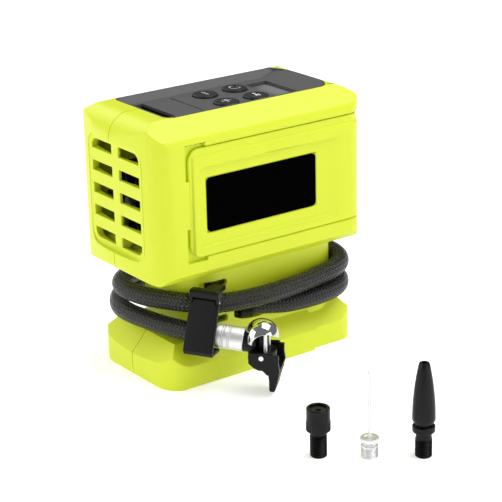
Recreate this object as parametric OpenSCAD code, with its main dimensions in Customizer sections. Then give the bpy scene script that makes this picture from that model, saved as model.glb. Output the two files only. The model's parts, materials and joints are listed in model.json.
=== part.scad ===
// Portable tyre inflator: a clamshell housing on a waisted stand, with a hose wound round the waist.
// Origin: centre of the stand's flat underside. X runs along the housing, -Y is the front, Z is up.

/* [Housing] */
// Length of the housing between its end corners
house_len = 125; // [110:1:150]
// Width of the housing
house_w = 70; // [66:1:84]
// Height of the housing's underside above the floor
house_z0 = 56; // [54:1:64]
// Height of the housing's flat sides
side_h = 69.5; // [66:0.5:80]
// Rise of the roof from the sides to the control panel
roof_rise = 9.3; // [6:0.1:14]
// Shift of the housing along the stand
house_shift = -1.5; // [-4:0.5:4]
// Radius of the housing's upright corners
corner_r = 10; // [6:0.5:14]
// How far each end bulges
end_crown = 3; // [1:0.5:5]
// Radius of the roof at the vent end, seen from the side
roof_end_r = 12; // [6:0.5:16]
// Radius of the roof at the display end
roof_far_r = 18; // [10:0.5:20]
// Radius of the underside at the vent end
floor_end_r = 6; // [3:0.5:8]
// Radius of the underside at the display end
floor_far_r = 10; // [4:0.5:12]
// Chamfer along the underside
floor_chamfer = 3.5; // [1:0.5:4]
// Thickness of the shells
wall = 2.5; // [2:0.1:3]
// Width of the groove along the joint of the two shells
seam_w = 0.5; // [0.2:0.1:1]
// Depth of that groove
seam_d = 0.6; // [0.3:0.1:1.2]

/* [Neck and foot] */
// Length of the neck
neck_len = 93; // [88:1:95]
// Width of the neck
neck_w = 52; // [48:1:54]
// Corner radius of the neck
neck_r = 16; // [10:1:20]
// Shift of the neck along the stand
neck_shift = 5.5; // [3:0.5:6]
// Length of the foot
foot_len = 117; // [110:1:130]
// Width of the foot
foot_w = 67; // [64:1:76]
// Corner radius of the foot
foot_r = 13; // [8:1:16]
// How far each end of the foot bulges
foot_crown = 1; // [0.5:0.5:3]
// Place along the foot where its front steps back
foot_step_x = 30; // [20:1:40]
// Depth of that step
foot_step = 2; // [0.5:0.1:2.5]
// Height of the foot's upright edge
foot_edge_h = 12; // [10:0.5:14]
// Height of the foot's shoulders
shoulder_h = 22; // [18:0.5:22.5]
// How far the end shoulders step in
shoulder_in = 9; // [4:0.5:10]
// Distance from the middle to the front shoulder
shoulder_y = 25; // [24:0.5:28]
// Height of the sloping band round the foot's underside
foot_band_h = 4.5; // [2:0.5:5]
// How far that band slopes in
foot_band_in = 1.6; // [0.5:0.1:2]

/* [Battery socket] */
// Place of the battery socket along the foot
socket_at = 2; // [0:0.5:4]
// Length of the battery socket
socket_x = 44; // [40:1:46]
// Width of the battery socket
socket_y = 28; // [26:1:28]
// Depth of the battery socket
socket_depth = 50; // [44:1:51]
// Wall of the battery socket
socket_wall = 2; // [1.5:0.1:2.2]
// Length of a contact blade
blade_len = 12; // [8:1:16]

/* [Vents] */
// Number of vent rows
vent_rows = 5; // [3:1:5]
// Distance between vent rows
vent_pitch = 11.3; // [9:0.1:11.5]
// Height of one vent
vent_h = 5; // [3:0.1:6]
// Length of one vent
vent_len = 17.5; // [10:0.5:18.5]
// Width of the rib between the two columns
vent_rib = 6; // [4:0.5:8]
// Height of the middle vent row above the housing's underside
vent_mid_h = 38; // [34:0.5:40]
// Corner radius of the vent field
vent_r = 4; // [2:0.5:6]
// Width of the field's border beyond the vents
vent_border = 2.8; // [1.5:0.1:3]
// Depth of the vent field
vent_recess = 3; // [1.5:0.1:3]

/* [Wrap cover] */
// Thickness of the wrap cover
cover_t = 2.4; // [1.8:0.1:3]
// Gap round the wrap cover
cover_gap = 0.3; // [0.2:0.1:0.6]
// Height of the cover's lower edge above the housing's underside
cover_low = 11.2; // [10:0.2:14]
// Height of the wrap cover
cover_h = 53.6; // [46:0.2:55]
// Distance of the cover's free edges from the vent end
cover_setback = 19; // [16:0.5:30]
// Corner radius of the cover's free edges
cover_r = 6; // [3:0.5:8]
// Width of the open slots at the cover's corners
slot_w = 2.2; // [1.5:0.1:3]
// Length of the upright slots
slot_rise = 15; // [10:0.5:18]
// Length of the level slots
slot_run = 9; // [6:0.5:14]
// Depth of the sunk field on the cover
field_d = 1.1; // [0.6:0.1:1.4]
// Margin of the sunk field below and above
field_margin = 5; // [4:0.2:9]
// Length of the sunk field
field_len = 75; // [72:0.5:80]
// Length of the ramp at the end of the sunk field
ramp_len = 9; // [4:0.5:10]
// Length of the label plate
label_len = 65; // [50:0.5:68]
// Height of the label plate
label_h = 27; // [20:0.5:32]
// Thickness of the label plate
label_t = 0.8; // [0.5:0.1:1]

/* [Control panel] */
// Width of the control panel
panel_w = 47; // [44:0.5:50]
// Length of the control panel without its round end
panel_len = 97; // [94:0.5:98]
// Distance of the panel from the vent end
panel_setback = 15; // [14:0.5:16]
// How far the panel's far end bulges
panel_crown = 5.5; // [3:0.5:6]
// Corner radius at the panel's far end
panel_r = 5; // [3:0.5:8]
// Corner radius at the vent end
panel_near_r = 4; // [3.5:0.5:6]
// Depth of the panel's tray
tray_d = 3.3; // [2:0.1:3.5]
// Width of the sloping margin along the sides
margin_y = 5; // [3:0.5:6]
// Width of the sloping margin beyond the display
margin_x = 13; // [8:0.5:15]
// Thickness of the panel's floor
panel_t = 2; // [1.5:0.1:2.5]
// Gap round the panel
panel_gap = 0.2; // [0.1:0.05:0.4]
// Width of the ledge that carries the panel
ledge = 3; // [2:0.5:3.5]
// Diameter of a button
button_d = 12.5; // [10:0.5:14]
// Distance between buttons along the housing
button_pitch_x = 17.8; // [15:0.2:19]
// Distance between buttons across the housing
button_pitch_y = 18; // [15:0.2:19]
// Distance of the button group from the panel's vent end
button_x = 53; // [51:0.5:54]
// How far a button stands out
button_proud = 1; // [0.6:0.1:1.6]
// Travel of a button
button_travel = 0.9; // [0.4:0.1:0.9]
// Gap round a button
button_gap = 0.15; // [0.1:0.05:0.3]
// Size of the display window along the housing
display_x = 13.5; // [10:0.5:14]
// Size of the display window across the housing
display_y = 27; // [20:0.5:28]
// Thickness of the display window's pane
lens_t = 1.2; // [0.8:0.1:1.4]
// Height of the space for parts between the circuit board and the panel
board_room = 5.9; // [5.9:0.1:7]
// Thickness of the circuit board
board_t = 1.6; // [1:0.1:2]
// Width of the circuit board
board_w = 40; // [38:1:40]

/* [Storage bin] */
// Length of the lid
lid_x = 15; // [12:0.5:16]
// Width of the lid
lid_y = 33; // [26:0.5:34]
// Thickness of the lid
lid_t = 1.8; // [1.4:0.1:2]
// Width of the finger gap beside the lid
finger_gap = 5.4; // [4.5:0.1:6]
// Radius of the lid's hinge barrel
lid_barrel_r = 1.3; // [1.1:0.1:1.3]
// Radius of the lid's hinge pin
lid_pin_r = 0.7; // [0.5:0.05:0.8]
// Gap between the motor and the bin
bin_gap = 1.5; // [0.5:0.1:4]
// Inside width of the bin
bin_y = 37; // [34.5:0.5:37]
// Wall of the bin
bin_wall = 1.5; // [1:0.1:1.6]

/* [Motor and compressor] */
// Diameter of the motor
motor_d = 36; // [30:1:36]
// Length of the motor
motor_len = 50; // [40:1:52]
// Height of the motor's axis above the housing's underside
motor_h = 34; // [33:0.5:34]
// Radius of the motor's shaft
shaft_r = 2.5; // [1.5:0.1:2.5]
// Teeth of the pinion
pinion_teeth = 10; // [10:1:12]
// Teeth of the drive gear
gear_teeth = 40; // [36:1:40]
// Gear module
gear_module = 0.75; // [0.7:0.05:0.75]
// Face width of the drive gear
gear_face = 5; // [4:0.5:6]
// Distance of the gear's centre towards the front
gear_y = 13; // [12:0.5:13]
// Radius of the gear's axle
axle_r = 3; // [2:0.1:3.5]
// Crank radius, half the piston's stroke
crank_r = 3; // [2:0.1:3]
// Radius of the crank pin
crank_pin_r = 2; // [1.5:0.1:2.2]
// Length of the connecting rod between its pins
rod_len = 22.5; // [22:0.1:23]
// Thickness of the connecting rod
rod_t = 3.8; // [3:0.1:4.4]
// Radius of the wrist pin
wrist_pin_r = 1.2; // [0.8:0.1:1.3]
// Radius of the cylinder's bore
bore_r = 10.1; // [9.6:0.1:10.4]
// Wall of the cylinder
cylinder_wall = 2.4; // [2:0.1:3]
// Length of the piston
piston_len = 11.2; // [11.2:0.1:11.4]
// Wall of the piston's skirt
skirt_t = 2; // [1.5:0.1:2]
// Thickness of the frame plate
plate_t = 4; // [3:0.5:4.5]
// Height of the head screws' heads
head_screw_h = 1.2; // [1:0.1:1.4]
// Radius of the cooling fan
fan_r = 20; // [16:0.5:21]
// Number of fan blades
fan_blades = 9; // [6:1:10]

/* [Hose and clip] */
// Outer diameter of the braided hose
hose_d = 9.5; // [8:0.1:9.5]
// Width of the hose clip
clip_w = 15.3; // [12:0.1:16]
// Thickness of the hose clip
clip_t = 2.2; // [1.6:0.1:2.6]
// Length of the clip's lip below the hose
lip_len = 8.5; // [6:0.5:9]
// Radius of the hose gland
gland_r = 6.2; // [5.6:0.1:6.4]
// Radius of the inner air tube
air_tube_r = 2.2; // [1.6:0.1:2.4]
// Radius of the crimped ferrule
ferrule_r = 5.9; // [5.2:0.1:6]
// Length of the ferrule
ferrule_len = 13.8; // [12:0.1:15]

/* [Chuck] */
// Radius of the chuck's black body
chuck_r = 7; // [6.8:0.1:7.4]
// Height of the chuck's black body
chuck_h = 7.4; // [6.5:0.1:8]
// Radius of the bright cap
cap_r = 8.3; // [8:0.1:9]
// Bore for a tyre valve stem
valve_bore_r = 4; // [3.9:0.05:4.3]
// Thickness of the lever's cheeks
cheek_t = 2; // [1.6:0.1:2.6]
// Radius of the cheeks round the pivot
cheek_r = 6.4; // [5:0.1:6.8]
// Radius of the lever's pivot pins
lever_pin_r = 1.2; // [1:0.05:1.4]
// Width of the thumb pad
pad_w = 12; // [8:0.5:14]

/* [Adaptors] */
// Radius of the adaptors' valve thread
thread_r = 3.87; // [3.8:0.01:3.9]
// Pitch of that thread
thread_pitch = 0.794; // [0.7:0.002:1]
// Radius of the presta adaptor's barrel
presta_r = 5.35; // [5:0.05:6]
// Height of the presta adaptor
presta_h = 23.7; // [20:0.1:28]
// Height of the ball needle
needle_h = 46; // [38:0.5:50]
// Radius of the ball needle's stem
needle_r = 0.75; // [0.6:0.05:1]
// Height of the tapered nozzle
nozzle_h = 45; // [38:0.5:50]
// Largest radius of the tapered nozzle
nozzle_r = 5.25; // [4.6:0.05:6]

/* [Hidden] */
$fn = 72;
eps = 0.01;
far = 200;
fit = 0.05;
corner_steps = 8;
crown_steps = 5;
joint_gap = 0.3;

lime = "#d9e021";
dark_grey = "#55575a";
black = "#1c1c1e";
steel = "#b9bcc0";
cast = "#a9adb0";
brass = "#c9a24a";

// Housing outline
house_x0 = house_shift - house_len / 2;
house_x1 = house_shift + house_len / 2;
bevel_z = house_z0 + side_h;
roof_z = bevel_z + roof_rise;
roof_run = (house_w - panel_w) / 2;
roof_slope = roof_rise / roof_run;
roof_stretch = sqrt(1 + roof_slope * roof_slope);
crown_r = crown_radius(house_w / 2 - corner_r, end_crown);
cover_wall = 2;
side_wall = cover_t + cover_gap + cover_wall;
inner_floor = house_z0 + wall;

// Neck and foot
neck_x0 = neck_shift - neck_len / 2;
neck_x1 = neck_shift + neck_len / 2;
foot_tip = foot_len / 2 + foot_crown;
foot_crown_r = crown_radius(foot_w / 2 - foot_r, foot_crown);
socket_top = socket_depth;

// Cover
cover_z0 = house_z0 + cover_low;
cover_z1 = cover_z0 + cover_h;
cover_x0 = house_x0 + cover_setback;
cover_mid = (cover_z0 + cover_z1) / 2;
field_x0 = cover_x0 + 5;
label_x0 = field_x0 + 5;

// Control panel
panel_x0 = house_x0 + panel_setback;
panel_x1 = panel_x0 + panel_len;
panel_crown_r = crown_radius(panel_w / 2 - panel_r, panel_crown);
tray_z = roof_z - tray_d;
panel_z0 = tray_z - panel_t;
tray_x0 = panel_x0 + 4;
display_x1 = panel_x1 - margin_x + 0.5;
display_x0 = display_x1 - display_x;
board_z = panel_z0 - board_room;
board_x0 = panel_x0 + 35;
board_x1 = panel_x1 - 10;
buttons_x = panel_x0 + button_x;
flange_t = 1;
flange_gap = 0.2;
switch_gap = 0.2;
switch_w = 6;
plunger_r = 1.7;

// Storage bin
lid_axis_x = panel_x0 + 27.4;
lid_axis_z = tray_z - lid_barrel_r;
lid_x0 = lid_axis_x - lid_x;
lid_open_x0 = lid_x0 - finger_gap;
lid_open_x1 = lid_axis_x + lid_barrel_r + 0.2;
lid_gap = 0.3;
bin_x0 = lid_open_x0;
bin_x1 = lid_open_x1;

// Motor, gears and compressor
motor_z = house_z0 + motor_h;
bin_floor = motor_z + motor_d / 2 + bin_gap + bin_wall;
plate_x0 = 7;
plate_x1 = plate_x0 + plate_t;
motor_x0 = plate_x0 - motor_len;
mesh_distance = gear_module * (pinion_teeth + gear_teeth) / 2;
gear_z = motor_z - sqrt(mesh_distance * mesh_distance - gear_y * gear_y);
gear_x0 = plate_x1 + 1.5;
gear_x1 = gear_x0 + gear_face;
gear_reach = gear_module * (gear_teeth / 2 + 1);
web_t = 2.5;
web_r = 8;
web_x1 = gear_x1 + web_t;
rod_x = web_x1 + 0.6 + rod_t / 2;
crank_pin_y = -gear_y - crank_r;
wrist_y = crank_pin_y + rod_len;
small_end_r = wrist_pin_r + 1.1;
big_end_r = crank_pin_r + 2.2;
cylinder_y0 = 5.6;
piston_y0 = cylinder_y0 + 0.2;
piston_y1 = piston_y0 + piston_len;
stroke = 2 * crank_r;
cylinder_y1 = piston_y1 + stroke + 0.3;
cylinder_r = bore_r + cylinder_wall;
flange_half = cylinder_r + 0.5;
gasket_t = 0.5;
head_y0 = cylinder_y1 + gasket_t;
screw_room = 0.3;
head_y1 = house_w / 2 - side_wall - screw_room - head_screw_h;
head_screw = flange_half - 2.6;
piston_r = bore_r - fit;
ring_groove = 1.2;
ring_w = 1.6;
nipple_y = (head_y0 + head_y1) / 2;
nipple_z = gear_z - 10.5;
nipple_len = 5;
nipple_x = rod_x - flange_half - nipple_len;
fan_x0 = motor_x0 - 14;
fan_w = 8;
saddle_x = motor_x0 + 7;
saddle_t = 3;

// Hose route: out of the gland, to the right, twice round the neck, and out to the front
hose_r = hose_d / 2;
hose_path = [
    [-4.5, -25, 31.3], [4.1, -29, 30.8], [14, -31.8, 30], [27, -32.6, 29.8], [39.8, -31.5, 29.9],
    [48.4, -27.8, 30.1], [54.7, -20.8, 30.3], [57.5, -11.9, 30.6], [57.8, -1, 30.8], [57.4, 11, 31.2],
    [54.7, 20.8, 31.4], [48.4, 27.8, 31.7], [39.8, 31.3, 32.2], [28, 31.4, 33.1], [15, 31.3, 34.4],
    [1, 31.3, 35.8], [-13, 31.3, 37.4], [-25, 31.2, 39.1], [-36, 29.6, 40.7], [-45.5, 25, 41.8],
    [-53, 17.5, 42.3], [-56, 8, 42.3], [-54, -2, 41.8], [-50.4, -9.4, 41.4], [-45.8, -16.8, 41.2],
    [-40.8, -24.2, 41.1], [-34, -29.4, 40.5], [-25, -32.4, 39.8], [-14, -34.3, 39.5], [-3, -35.2, 39.5],
    [9, -35, 39.6], [22, -33.9, 39.9], [33, -32.4, 40.5], [41.8, -31.1, 41], [49.4, -27.2, 41.4],
    [55, -20.4, 41.7], [57.6, -11.9, 41.9], [57.8, -1, 42], [57.8, 10, 42], [56.6, 20, 41.9],
    [51, 31.4, 41.3], [41.2, 38.4, 40.1], [28, 41.5, 38.6], [14, 41.9, 36.9], [0, 41.9, 35.2],
    [-14, 41.5, 33.5], [-28, 39.7, 31.9], [-40, 35, 30.9], [-49, 27, 30.3], [-54.3, 16.5, 29.9],
    [-55, 6, 29.8], [-53.5, -4, 29.7], [-51.3, -14, 29.5], [-47.4, -23.9, 29.1], [-42.5, -32.5, 28.5],
    [-36, -40, 28]];
// Directions of the hose at its two ends, as turns about Z and slopes
gland_turn = -25;
ferrule_turn = -47;
ferrule_slope = -6.5;
gland_len = 6;
gland_step = 3.4;
gland_inner = 2.5;
clip_turn = 210.5;
clip_at = [-26.2, -28.4, 0];
clip_hinge_n = 15.4;
clip_hinge_z = 45.2;
clip_foot_n = 25.4;
clip_foot_z = 23;
clip_block_z1 = 50.6;
clip_block_z0 = clip_hinge_z + 1.5;
clip_arm_w = 8;
clip_pin_r = 0.6;
lug_r = 1.3;
lug_w = 1.5;
clip_arm_t = 2.2;
leaf_tip_r = 1.1;
slot_1_z = 47.4;
slot_2_z = 29;

// Inner tubes
air_path = [
    [nipple_x, nipple_y, nipple_z], [nipple_x - 6, nipple_y, nipple_z], [-12, 24.5, 65], [-22, 18, 62],
    [-28.5, 8, 56.5], [-30, -2, 49.5], [-30, -11, 42], [-27.5, -17, 36], [-22, -19.8, 32.6],
    [-17.1, -19.6, 31.4], [-12.2, -21.4, 31.3]];

// Chuck
ferrule_dir = [cos(ferrule_turn) * cos(ferrule_slope), sin(ferrule_turn) * cos(ferrule_slope),
               sin(ferrule_slope)];
hose_end = hose_path[len(hose_path) - 1];
chuck_at = hose_end + (ferrule_len + cap_r + joint_gap) * ferrule_dir;
chuck_x = chuck_at[0];
chuck_y = chuck_at[1];
chuck_mid = chuck_at[2];
chuck_z0 = 15;
chuck_z1 = chuck_z0 + chuck_h;
cap_z0 = chuck_z1 + 4.2;
cap_mid = chuck_z1 + 6.8;
cap_ceiling = cap_mid + 3;
arch_r = 6.4;
arch_at = [-2.6, cap_mid - 3.4];
lever_axis_z = chuck_z0 + 5.8;
lever_axis_f = 1;
cheek_x = chuck_r + 0.25;
pin_depth = valve_bore_r + 0.4;
cheek_top = lever_axis_z + 2.6;
seal_r = 5.8;
seal_z0 = chuck_z0 + 1.2;
seal_t = 3;
plunger_z1 = seal_z0 + seal_t + 1;
plunger_bore_r = 2.8;
collar_r = ferrule_r - 0.3;
core_r = 3.2;
post_r = 0.9;
cap_wall = 1.3;

// Shell screws: place along X and height of each
screw_places = [[house_x0 + 10, inner_floor + 5], [house_x0 + 10, bevel_z - 3.5],
                [house_x1 - 9, inner_floor + 5], [house_x1 - 9, cover_z1 - 8],
                [neck_x0 + 5.5, 31], [neck_x1 - 8.5, 38],
                [-foot_len / 2 + 8.5, 9.5], [foot_len / 2 - 8.5, 9.5]];
screw_seat = 14;
screw_r = 1.4;
screw_head_r = 3;
screw_head_h = 2.2;
screw_deep = 10;
boss_front_r = 3.8;
boss_rear_r = 5.2;

// ---------- shared shapes ----------

// A rectangle from (x0, y0) to (x1, y1) with its own corner radius at each end of Y
module round_rect(x0, x1, y0, y1, low_r, high_r) {
    translate([x0, y0 + low_r]) square([x1 - x0, y1 - y0 - low_r - high_r]);
    translate([x0 + low_r, y0]) square([x1 - x0 - 2 * low_r, low_r + eps]);
    translate([x0 + high_r, y1 - high_r - eps]) square([x1 - x0 - 2 * high_r, high_r + eps]);
    for (x = [x0 + low_r, x1 - low_r]) translate([x, y0 + low_r]) circle(low_r);
    for (x = [x0 + high_r, x1 - high_r]) translate([x, y1 - high_r]) circle(high_r);
}

// Radius of an arc that rises by sag over half a chord
function crown_radius(half_chord, sag) = (half_chord * half_chord + sag * sag) / (2 * sag);

// Points along an arc, from one angle to another in even steps
function arc(centre, r, from, to, steps) = [for (i = [0 : steps]) let(a = from + (to - from) * i / steps)
    centre + r * [cos(a), sin(a)]];

// Outline of a bar from X = 0 to a crowned end whose round corners run smoothly into the crown
function crowned_points(half, tip, crown, corner) = let(
    middle = tip - crown, corner_y = half - corner,
    corner_x = middle + sqrt(pow(crown - corner, 2) - corner_y * corner_y),
    turn = atan2(corner_y, corner_x - middle))
    concat([[0, -half]], arc([corner_x, -corner_y], corner, -90, -turn, corner_steps),
           arc([middle, 0], crown, -turn + turn / crown_steps, turn - turn / crown_steps, 2 * crown_steps - 2),
           arc([corner_x, corner_y], corner, turn, 90, corner_steps), [[0, half]]);

module crowned_end(half, tip, crown, corner) {
    polygon(crowned_points(half, tip, crown, corner));
}

// Plan of the housing, drawn in by inset, with crowned ends
module house_plan(inset) {
    for (side = [0, 1]) translate([house_shift, 0]) mirror([side, 0])
        crowned_end(house_w / 2 - inset, house_len / 2 + end_crown - inset, crown_r - inset, corner_r - inset);
}

// Cross-section of the housing in Y and Z
module house_section(side_in, inset) {
    half = house_w / 2 - side_in;
    low = house_z0 + inset;
    shoulder = bevel_z + roof_slope * side_in - inset * roof_stretch;
    top = roof_z - inset;
    top_half = half + side_in - (top - bevel_z + inset * roof_stretch) / roof_slope;
    cut = inset > 0 ? eps : floor_chamfer;
    polygon([[-half + cut, low], [half - cut, low], [half, low + cut], [half, shoulder], [top_half, top],
             [-top_half, top], [-half, shoulder], [-half, low + cut]]);
}

// Side view of the housing in X and Z
module house_side(side_in, inset) {
    intersection() {
        round_rect(house_x0 - end_crown + side_in, far, house_z0 + inset, roof_z - inset,
                   floor_end_r - inset, roof_end_r - inset);
        round_rect(-far, house_x1 + end_crown - side_in, house_z0 + inset, roof_z - inset,
                   floor_far_r - inset, roof_far_r - inset);
    }
}

module along_x(x0, x1) {
    translate([x0, 0, 0]) rotate([90, 0, 90]) linear_extrude(height = x1 - x0) children();
}

module along_y(y0, y1) {
    translate([0, y1, 0]) rotate([90, 0, 0]) linear_extrude(height = y1 - y0) children();
}

module along_z(z0, z1) {
    translate([0, 0, z0]) linear_extrude(height = z1 - z0) children();
}

module block(x0, x1, y0, y1, z0, z1) {
    translate([x0, y0, z0]) cube([x1 - x0, y1 - y0, z1 - z0]);
}

module bar_x(x0, x1, y, z, r) {
    translate([x0, y, z]) rotate([0, 90, 0]) cylinder(r = r, h = x1 - x0);
}

module bar_y(y0, y1, x, z, r) {
    translate([x, y1, z]) rotate([90, 0, 0]) cylinder(r = r, h = y1 - y0);
}

module bar_z(z0, z1, x, y, r) {
    translate([x, y, z0]) cylinder(r = r, h = z1 - z0);
}

module housing(side_in, inset) {
    intersection() {
        along_x(-far, far) house_section(side_in, inset);
        along_y(-far, far) house_side(side_in, inset);
        along_z(0, far) house_plan(side_in);
    }
}

module neck(inset, z0, z1) {
    half = neck_w / 2 - inset;
    along_z(z0, z1) round_rect(neck_x0 + inset, neck_x1 - inset, -half, half, neck_r - inset, neck_r - inset);
}

// Profile of the foot: up the near edge, over the shoulders and down the far edge
function foot_profile(near, near_top, far_edge, far_top, band_in, inset) = let(
    low = inset, band = inset > 0 ? eps : band_in, kink = inset > 0 ? inset + eps : foot_band_h)
    [[near + inset + band, low], [near + inset, kink], [near + inset, foot_edge_h - inset / 3],
     [near_top + inset, shoulder_h - inset], [far_top - inset, shoulder_h - inset],
     [far_edge - inset, foot_edge_h - inset / 3], [far_edge - inset, kink], [far_edge - inset - band, low]];

// The part of the foot between two places, its front stepped in
module foot_stretch(x0, x1, step_in, inset) {
    intersection() {
        along_x(x0, x1)
            polygon(foot_profile(step_in - foot_w / 2, step_in - shoulder_y, foot_w / 2, shoulder_y, foot_band_in,
                                 inset));
        along_y(-far, far)
            polygon(foot_profile(-foot_tip, shoulder_in - foot_tip, foot_tip, foot_tip - shoulder_in, foot_crown,
                                 inset));
        along_z(-1, shoulder_h + 1) translate([0, step_in / 2]) for (side = [0, 1]) mirror([side, 0])
            crowned_end((foot_w - step_in) / 2 - inset, foot_tip - inset, foot_crown_r - inset, foot_r - inset);
    }
}

module foot(inset) {
    foot_stretch(-far, foot_step_x - inset, 0, inset);
    foot_stretch(foot_step_x - inset - eps, far, foot_step, inset);
}

module outer_body(inset) {
    housing(inset, inset);
    neck(inset, foot_edge_h, house_z0 + 2 * wall);
    foot(inset);
}

module inner_body() {
    housing(side_wall, wall);
    neck(wall, foot_edge_h / 2, inner_floor + 1);
    foot(wall);
}

module panel_plan(inset) {
    half = panel_w / 2 - inset;
    corner = panel_near_r - inset;
    near = panel_x0 + inset + corner;
    far_end = crowned_points(half, panel_x1 + panel_crown - inset, panel_crown_r - inset, panel_r - inset);
    polygon(concat([for (i = [1 : len(far_end) - 2]) far_end[i]],
                   arc([near, half - corner], corner, 90, 180, corner_steps),
                   arc([near, corner - half], corner, 180, 270, corner_steps)));
}

module cover_outline(grow) {
    round_rect(cover_x0 - grow, far, cover_z0 - grow, cover_z1 + grow, cover_r, cover_r);
}

// Open corners beside the cover: an upright and a level arm at the top and at the bottom
module corner_slots() {
    for (top = [0, 1]) {
        z = top == 1 ? cover_z1 : cover_z0;
        up = top == 1 ? -1 : 1;
        translate([cover_x0, z]) scale([1, up]) {
            translate([-slot_w, 0]) square([slot_w + cover_r, slot_rise]);
            translate([-slot_w, -slot_w]) square([slot_run + slot_w, slot_w + cover_r]);
        }
    }
}

// A tube of given points, radius and number of sides, swept without twist about Z
function unit(v) = v / norm(v);
function heading(path, i) = unit(path[min(i + 1, len(path) - 1)] - path[max(i - 1, 0)]);
function side_of(t) = unit(cross(t, [0, 0, 1]));
function ring(path, i, r, n, first, last) = let(
    t = i == 0 ? first : i == len(path) - 1 ? last : heading(path, i),
    s = side_of(t), u = cross(s, t))
    [for (k = [0 : n - 1]) path[i] + r * (cos(360 * (k + 0.5) / n) * s + sin(360 * (k + 0.5) / n) * u)];
module tube(path, r, n, first, last) {
    m = len(path);
    points = [for (i = [0 : m - 1]) each ring(path, i, r, n, first, last)];
    sides = [for (i = [0 : m - 2]) for (k = [0 : n - 1]) each let(
        a = i * n + k, b = i * n + (k + 1) % n, c = a + n, d = b + n) [[a, b, c], [b, d, c]]];
    caps = [for (k = [1 : n - 2]) each [[0, k + 1, k], [(m - 1) * n, (m - 1) * n + k, (m - 1) * n + k + 1]]];
    polyhedron(points = points, faces = concat(sides, caps));
}

// Least gap between stretches of a path that lie more than far_on points apart
function self_gap(path, r, far_on) = min([for (i = [0 : len(path) - 1]) for (j = [i + far_on : 1 : len(path) - 1])
    norm(path[i] - path[j]) - 2 * r]);
function halfway(path) = [for (i = [0 : len(path) - 2]) each [path[i], (path[i] + path[i + 1]) / 2]];
function path_length(path, i = 0) = i >= len(path) - 1 ? 0 : norm(path[i + 1] - path[i]) + path_length(path, i + 1);

// Teeth of a spur gear, thinned a little for backlash
module gear_outline(teeth, phase) {
    pitch_r = gear_module * teeth / 2;
    root_r = pitch_r - 1.2 * gear_module;
    tip_r = pitch_r + 0.92 * gear_module;
    step = 360 / teeth;
    polygon([for (i = [0 : teeth - 1]) for (corner = [[root_r, -0.3], [tip_r, -0.085], [tip_r, 0.085], [root_r, 0.3]])
        corner[0] * [cos(step * (i + corner[1]) + phase), sin(step * (i + corner[1]) + phase)]]);
}

// ---------- shells ----------

module vents() {
    half_h = (vent_rows - 1) * vent_pitch / 2 + vent_h / 2;
    half_w = vent_rib / 2 + vent_len;
    middle = house_z0 + vent_mid_h;
    along_x(house_x0 - end_crown - 1, house_x0 + side_wall + 1) intersection() {
        union() for (row = [0 : vent_rows - 1]) for (side = [-1, 1])
            translate([side * (vent_rib + vent_len) / 2 - vent_len / 2,
                       middle + (row - (vent_rows - 1) / 2) * vent_pitch - vent_h / 2])
                square([vent_len, vent_h]);
        vent_field(half_w, half_h, middle, 0);
    }
    along_x(house_x0 - end_crown - 1, house_x0 - end_crown + vent_recess)
        vent_field(half_w, half_h, middle, vent_border);
}

// Round-cornered field round the vents
module vent_field(half_w, half_h, middle, grow) {
    round_rect(-half_w - grow, half_w + grow, middle - half_h - grow, middle + half_h + grow, vent_r + grow,
               vent_r + grow);
}

module cover_pocket() {
    intersection() {
        along_z(0, far) difference() {
            house_plan(-2);
            house_plan(cover_t + cover_gap);
        }
        along_y(-far, far) {
            cover_outline(cover_gap);
            corner_slots();
        }
    }
}

// Sloping bands above and below the cover on both long sides and the far end
module panel_opening() {
    along_z(panel_z0 - panel_gap / 2, far) panel_plan(-panel_gap);
    along_z(panel_z0 - ledge - 1, far) panel_plan(ledge);
}

module panel_collar() {
    intersection() {
        housing(wall / 2, wall / 2);
        difference() {
            along_z(panel_z0 - ledge, roof_z) panel_plan(-wall);
            panel_opening();
        }
    }
}

module socket_liner() {
    difference() {
        block(socket_at - socket_x / 2 - socket_wall, socket_at + socket_x / 2 + socket_wall,
              -socket_y / 2 - socket_wall, socket_y / 2 + socket_wall, 0, socket_top + socket_wall);
        socket_hole();
    }
}

module socket_hole() {
    block(socket_at - socket_x / 2, socket_at + socket_x / 2, -socket_y / 2, socket_y / 2, -1, socket_top);
}

module motor_saddle() {
    intersection() {
        inner_body();
        difference() {
            block(saddle_x, saddle_x + saddle_t, -far, far, inner_floor - 1, motor_z + motor_d / 2);
            bar_x(saddle_x - 1, saddle_x + saddle_t + 1, 0, motor_z, motor_d / 2 + joint_gap);
            block(saddle_x - 1, saddle_x + saddle_t + 1, -motor_d / 3, motor_d / 3, 0, motor_z);
        }
    }
}

module gland_axis() {
    translate(hose_path[0]) rotate([0, 90, gland_turn]) children();
}

module gland_hole() {
    gland_axis() {
        translate([0, 0, -gland_len - gland_inner - 1]) cylinder(r = gland_r + 0.2, h = gland_len + 20);
    }
}

// Holes in the neck's front where the clip hooks in
module clip_slots() {
    for (z = [slot_1_z, slot_2_z]) along_y(-neck_w / 2 - 1, -neck_w / 2 + wall + 1)
        round_rect(-34, -19.3, z - 1.7, z + 1.7, 1.5, 1.5);
    clip_frame() block(-2, clip_hinge_n, -clip_arm_w / 2 - 0.2, clip_arm_w / 2 + 0.2,
                       slot_1_z - clip_arm_t / 2 - 0.2, slot_1_z + clip_arm_t / 2 + 0.2);
}

module shell_solid() {
    difference() {
        union() {
            difference() {
                outer_body(0);
                inner_body();
            }
            panel_collar();
            intersection() {
                outer_body(0);
                socket_liner();
            }
            motor_saddle();
        }
        socket_hole();
        panel_opening();
        cover_pocket();
        vents();
        gland_hole();
        clip_slots();
        difference() {
            block(-far, far, -seam_w / 2, seam_w / 2, -far, far);
            outer_body(seam_d);
            block(-far, far, -1, 1, -far, 0.7);
        }
    }
}

module screw_bosses(r, y0, y1) {
    intersection() {
        outer_body(wall / 2);
        for (p = screw_places) bar_y(y0, y1, p[0], p[1], r);
    }
}

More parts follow.
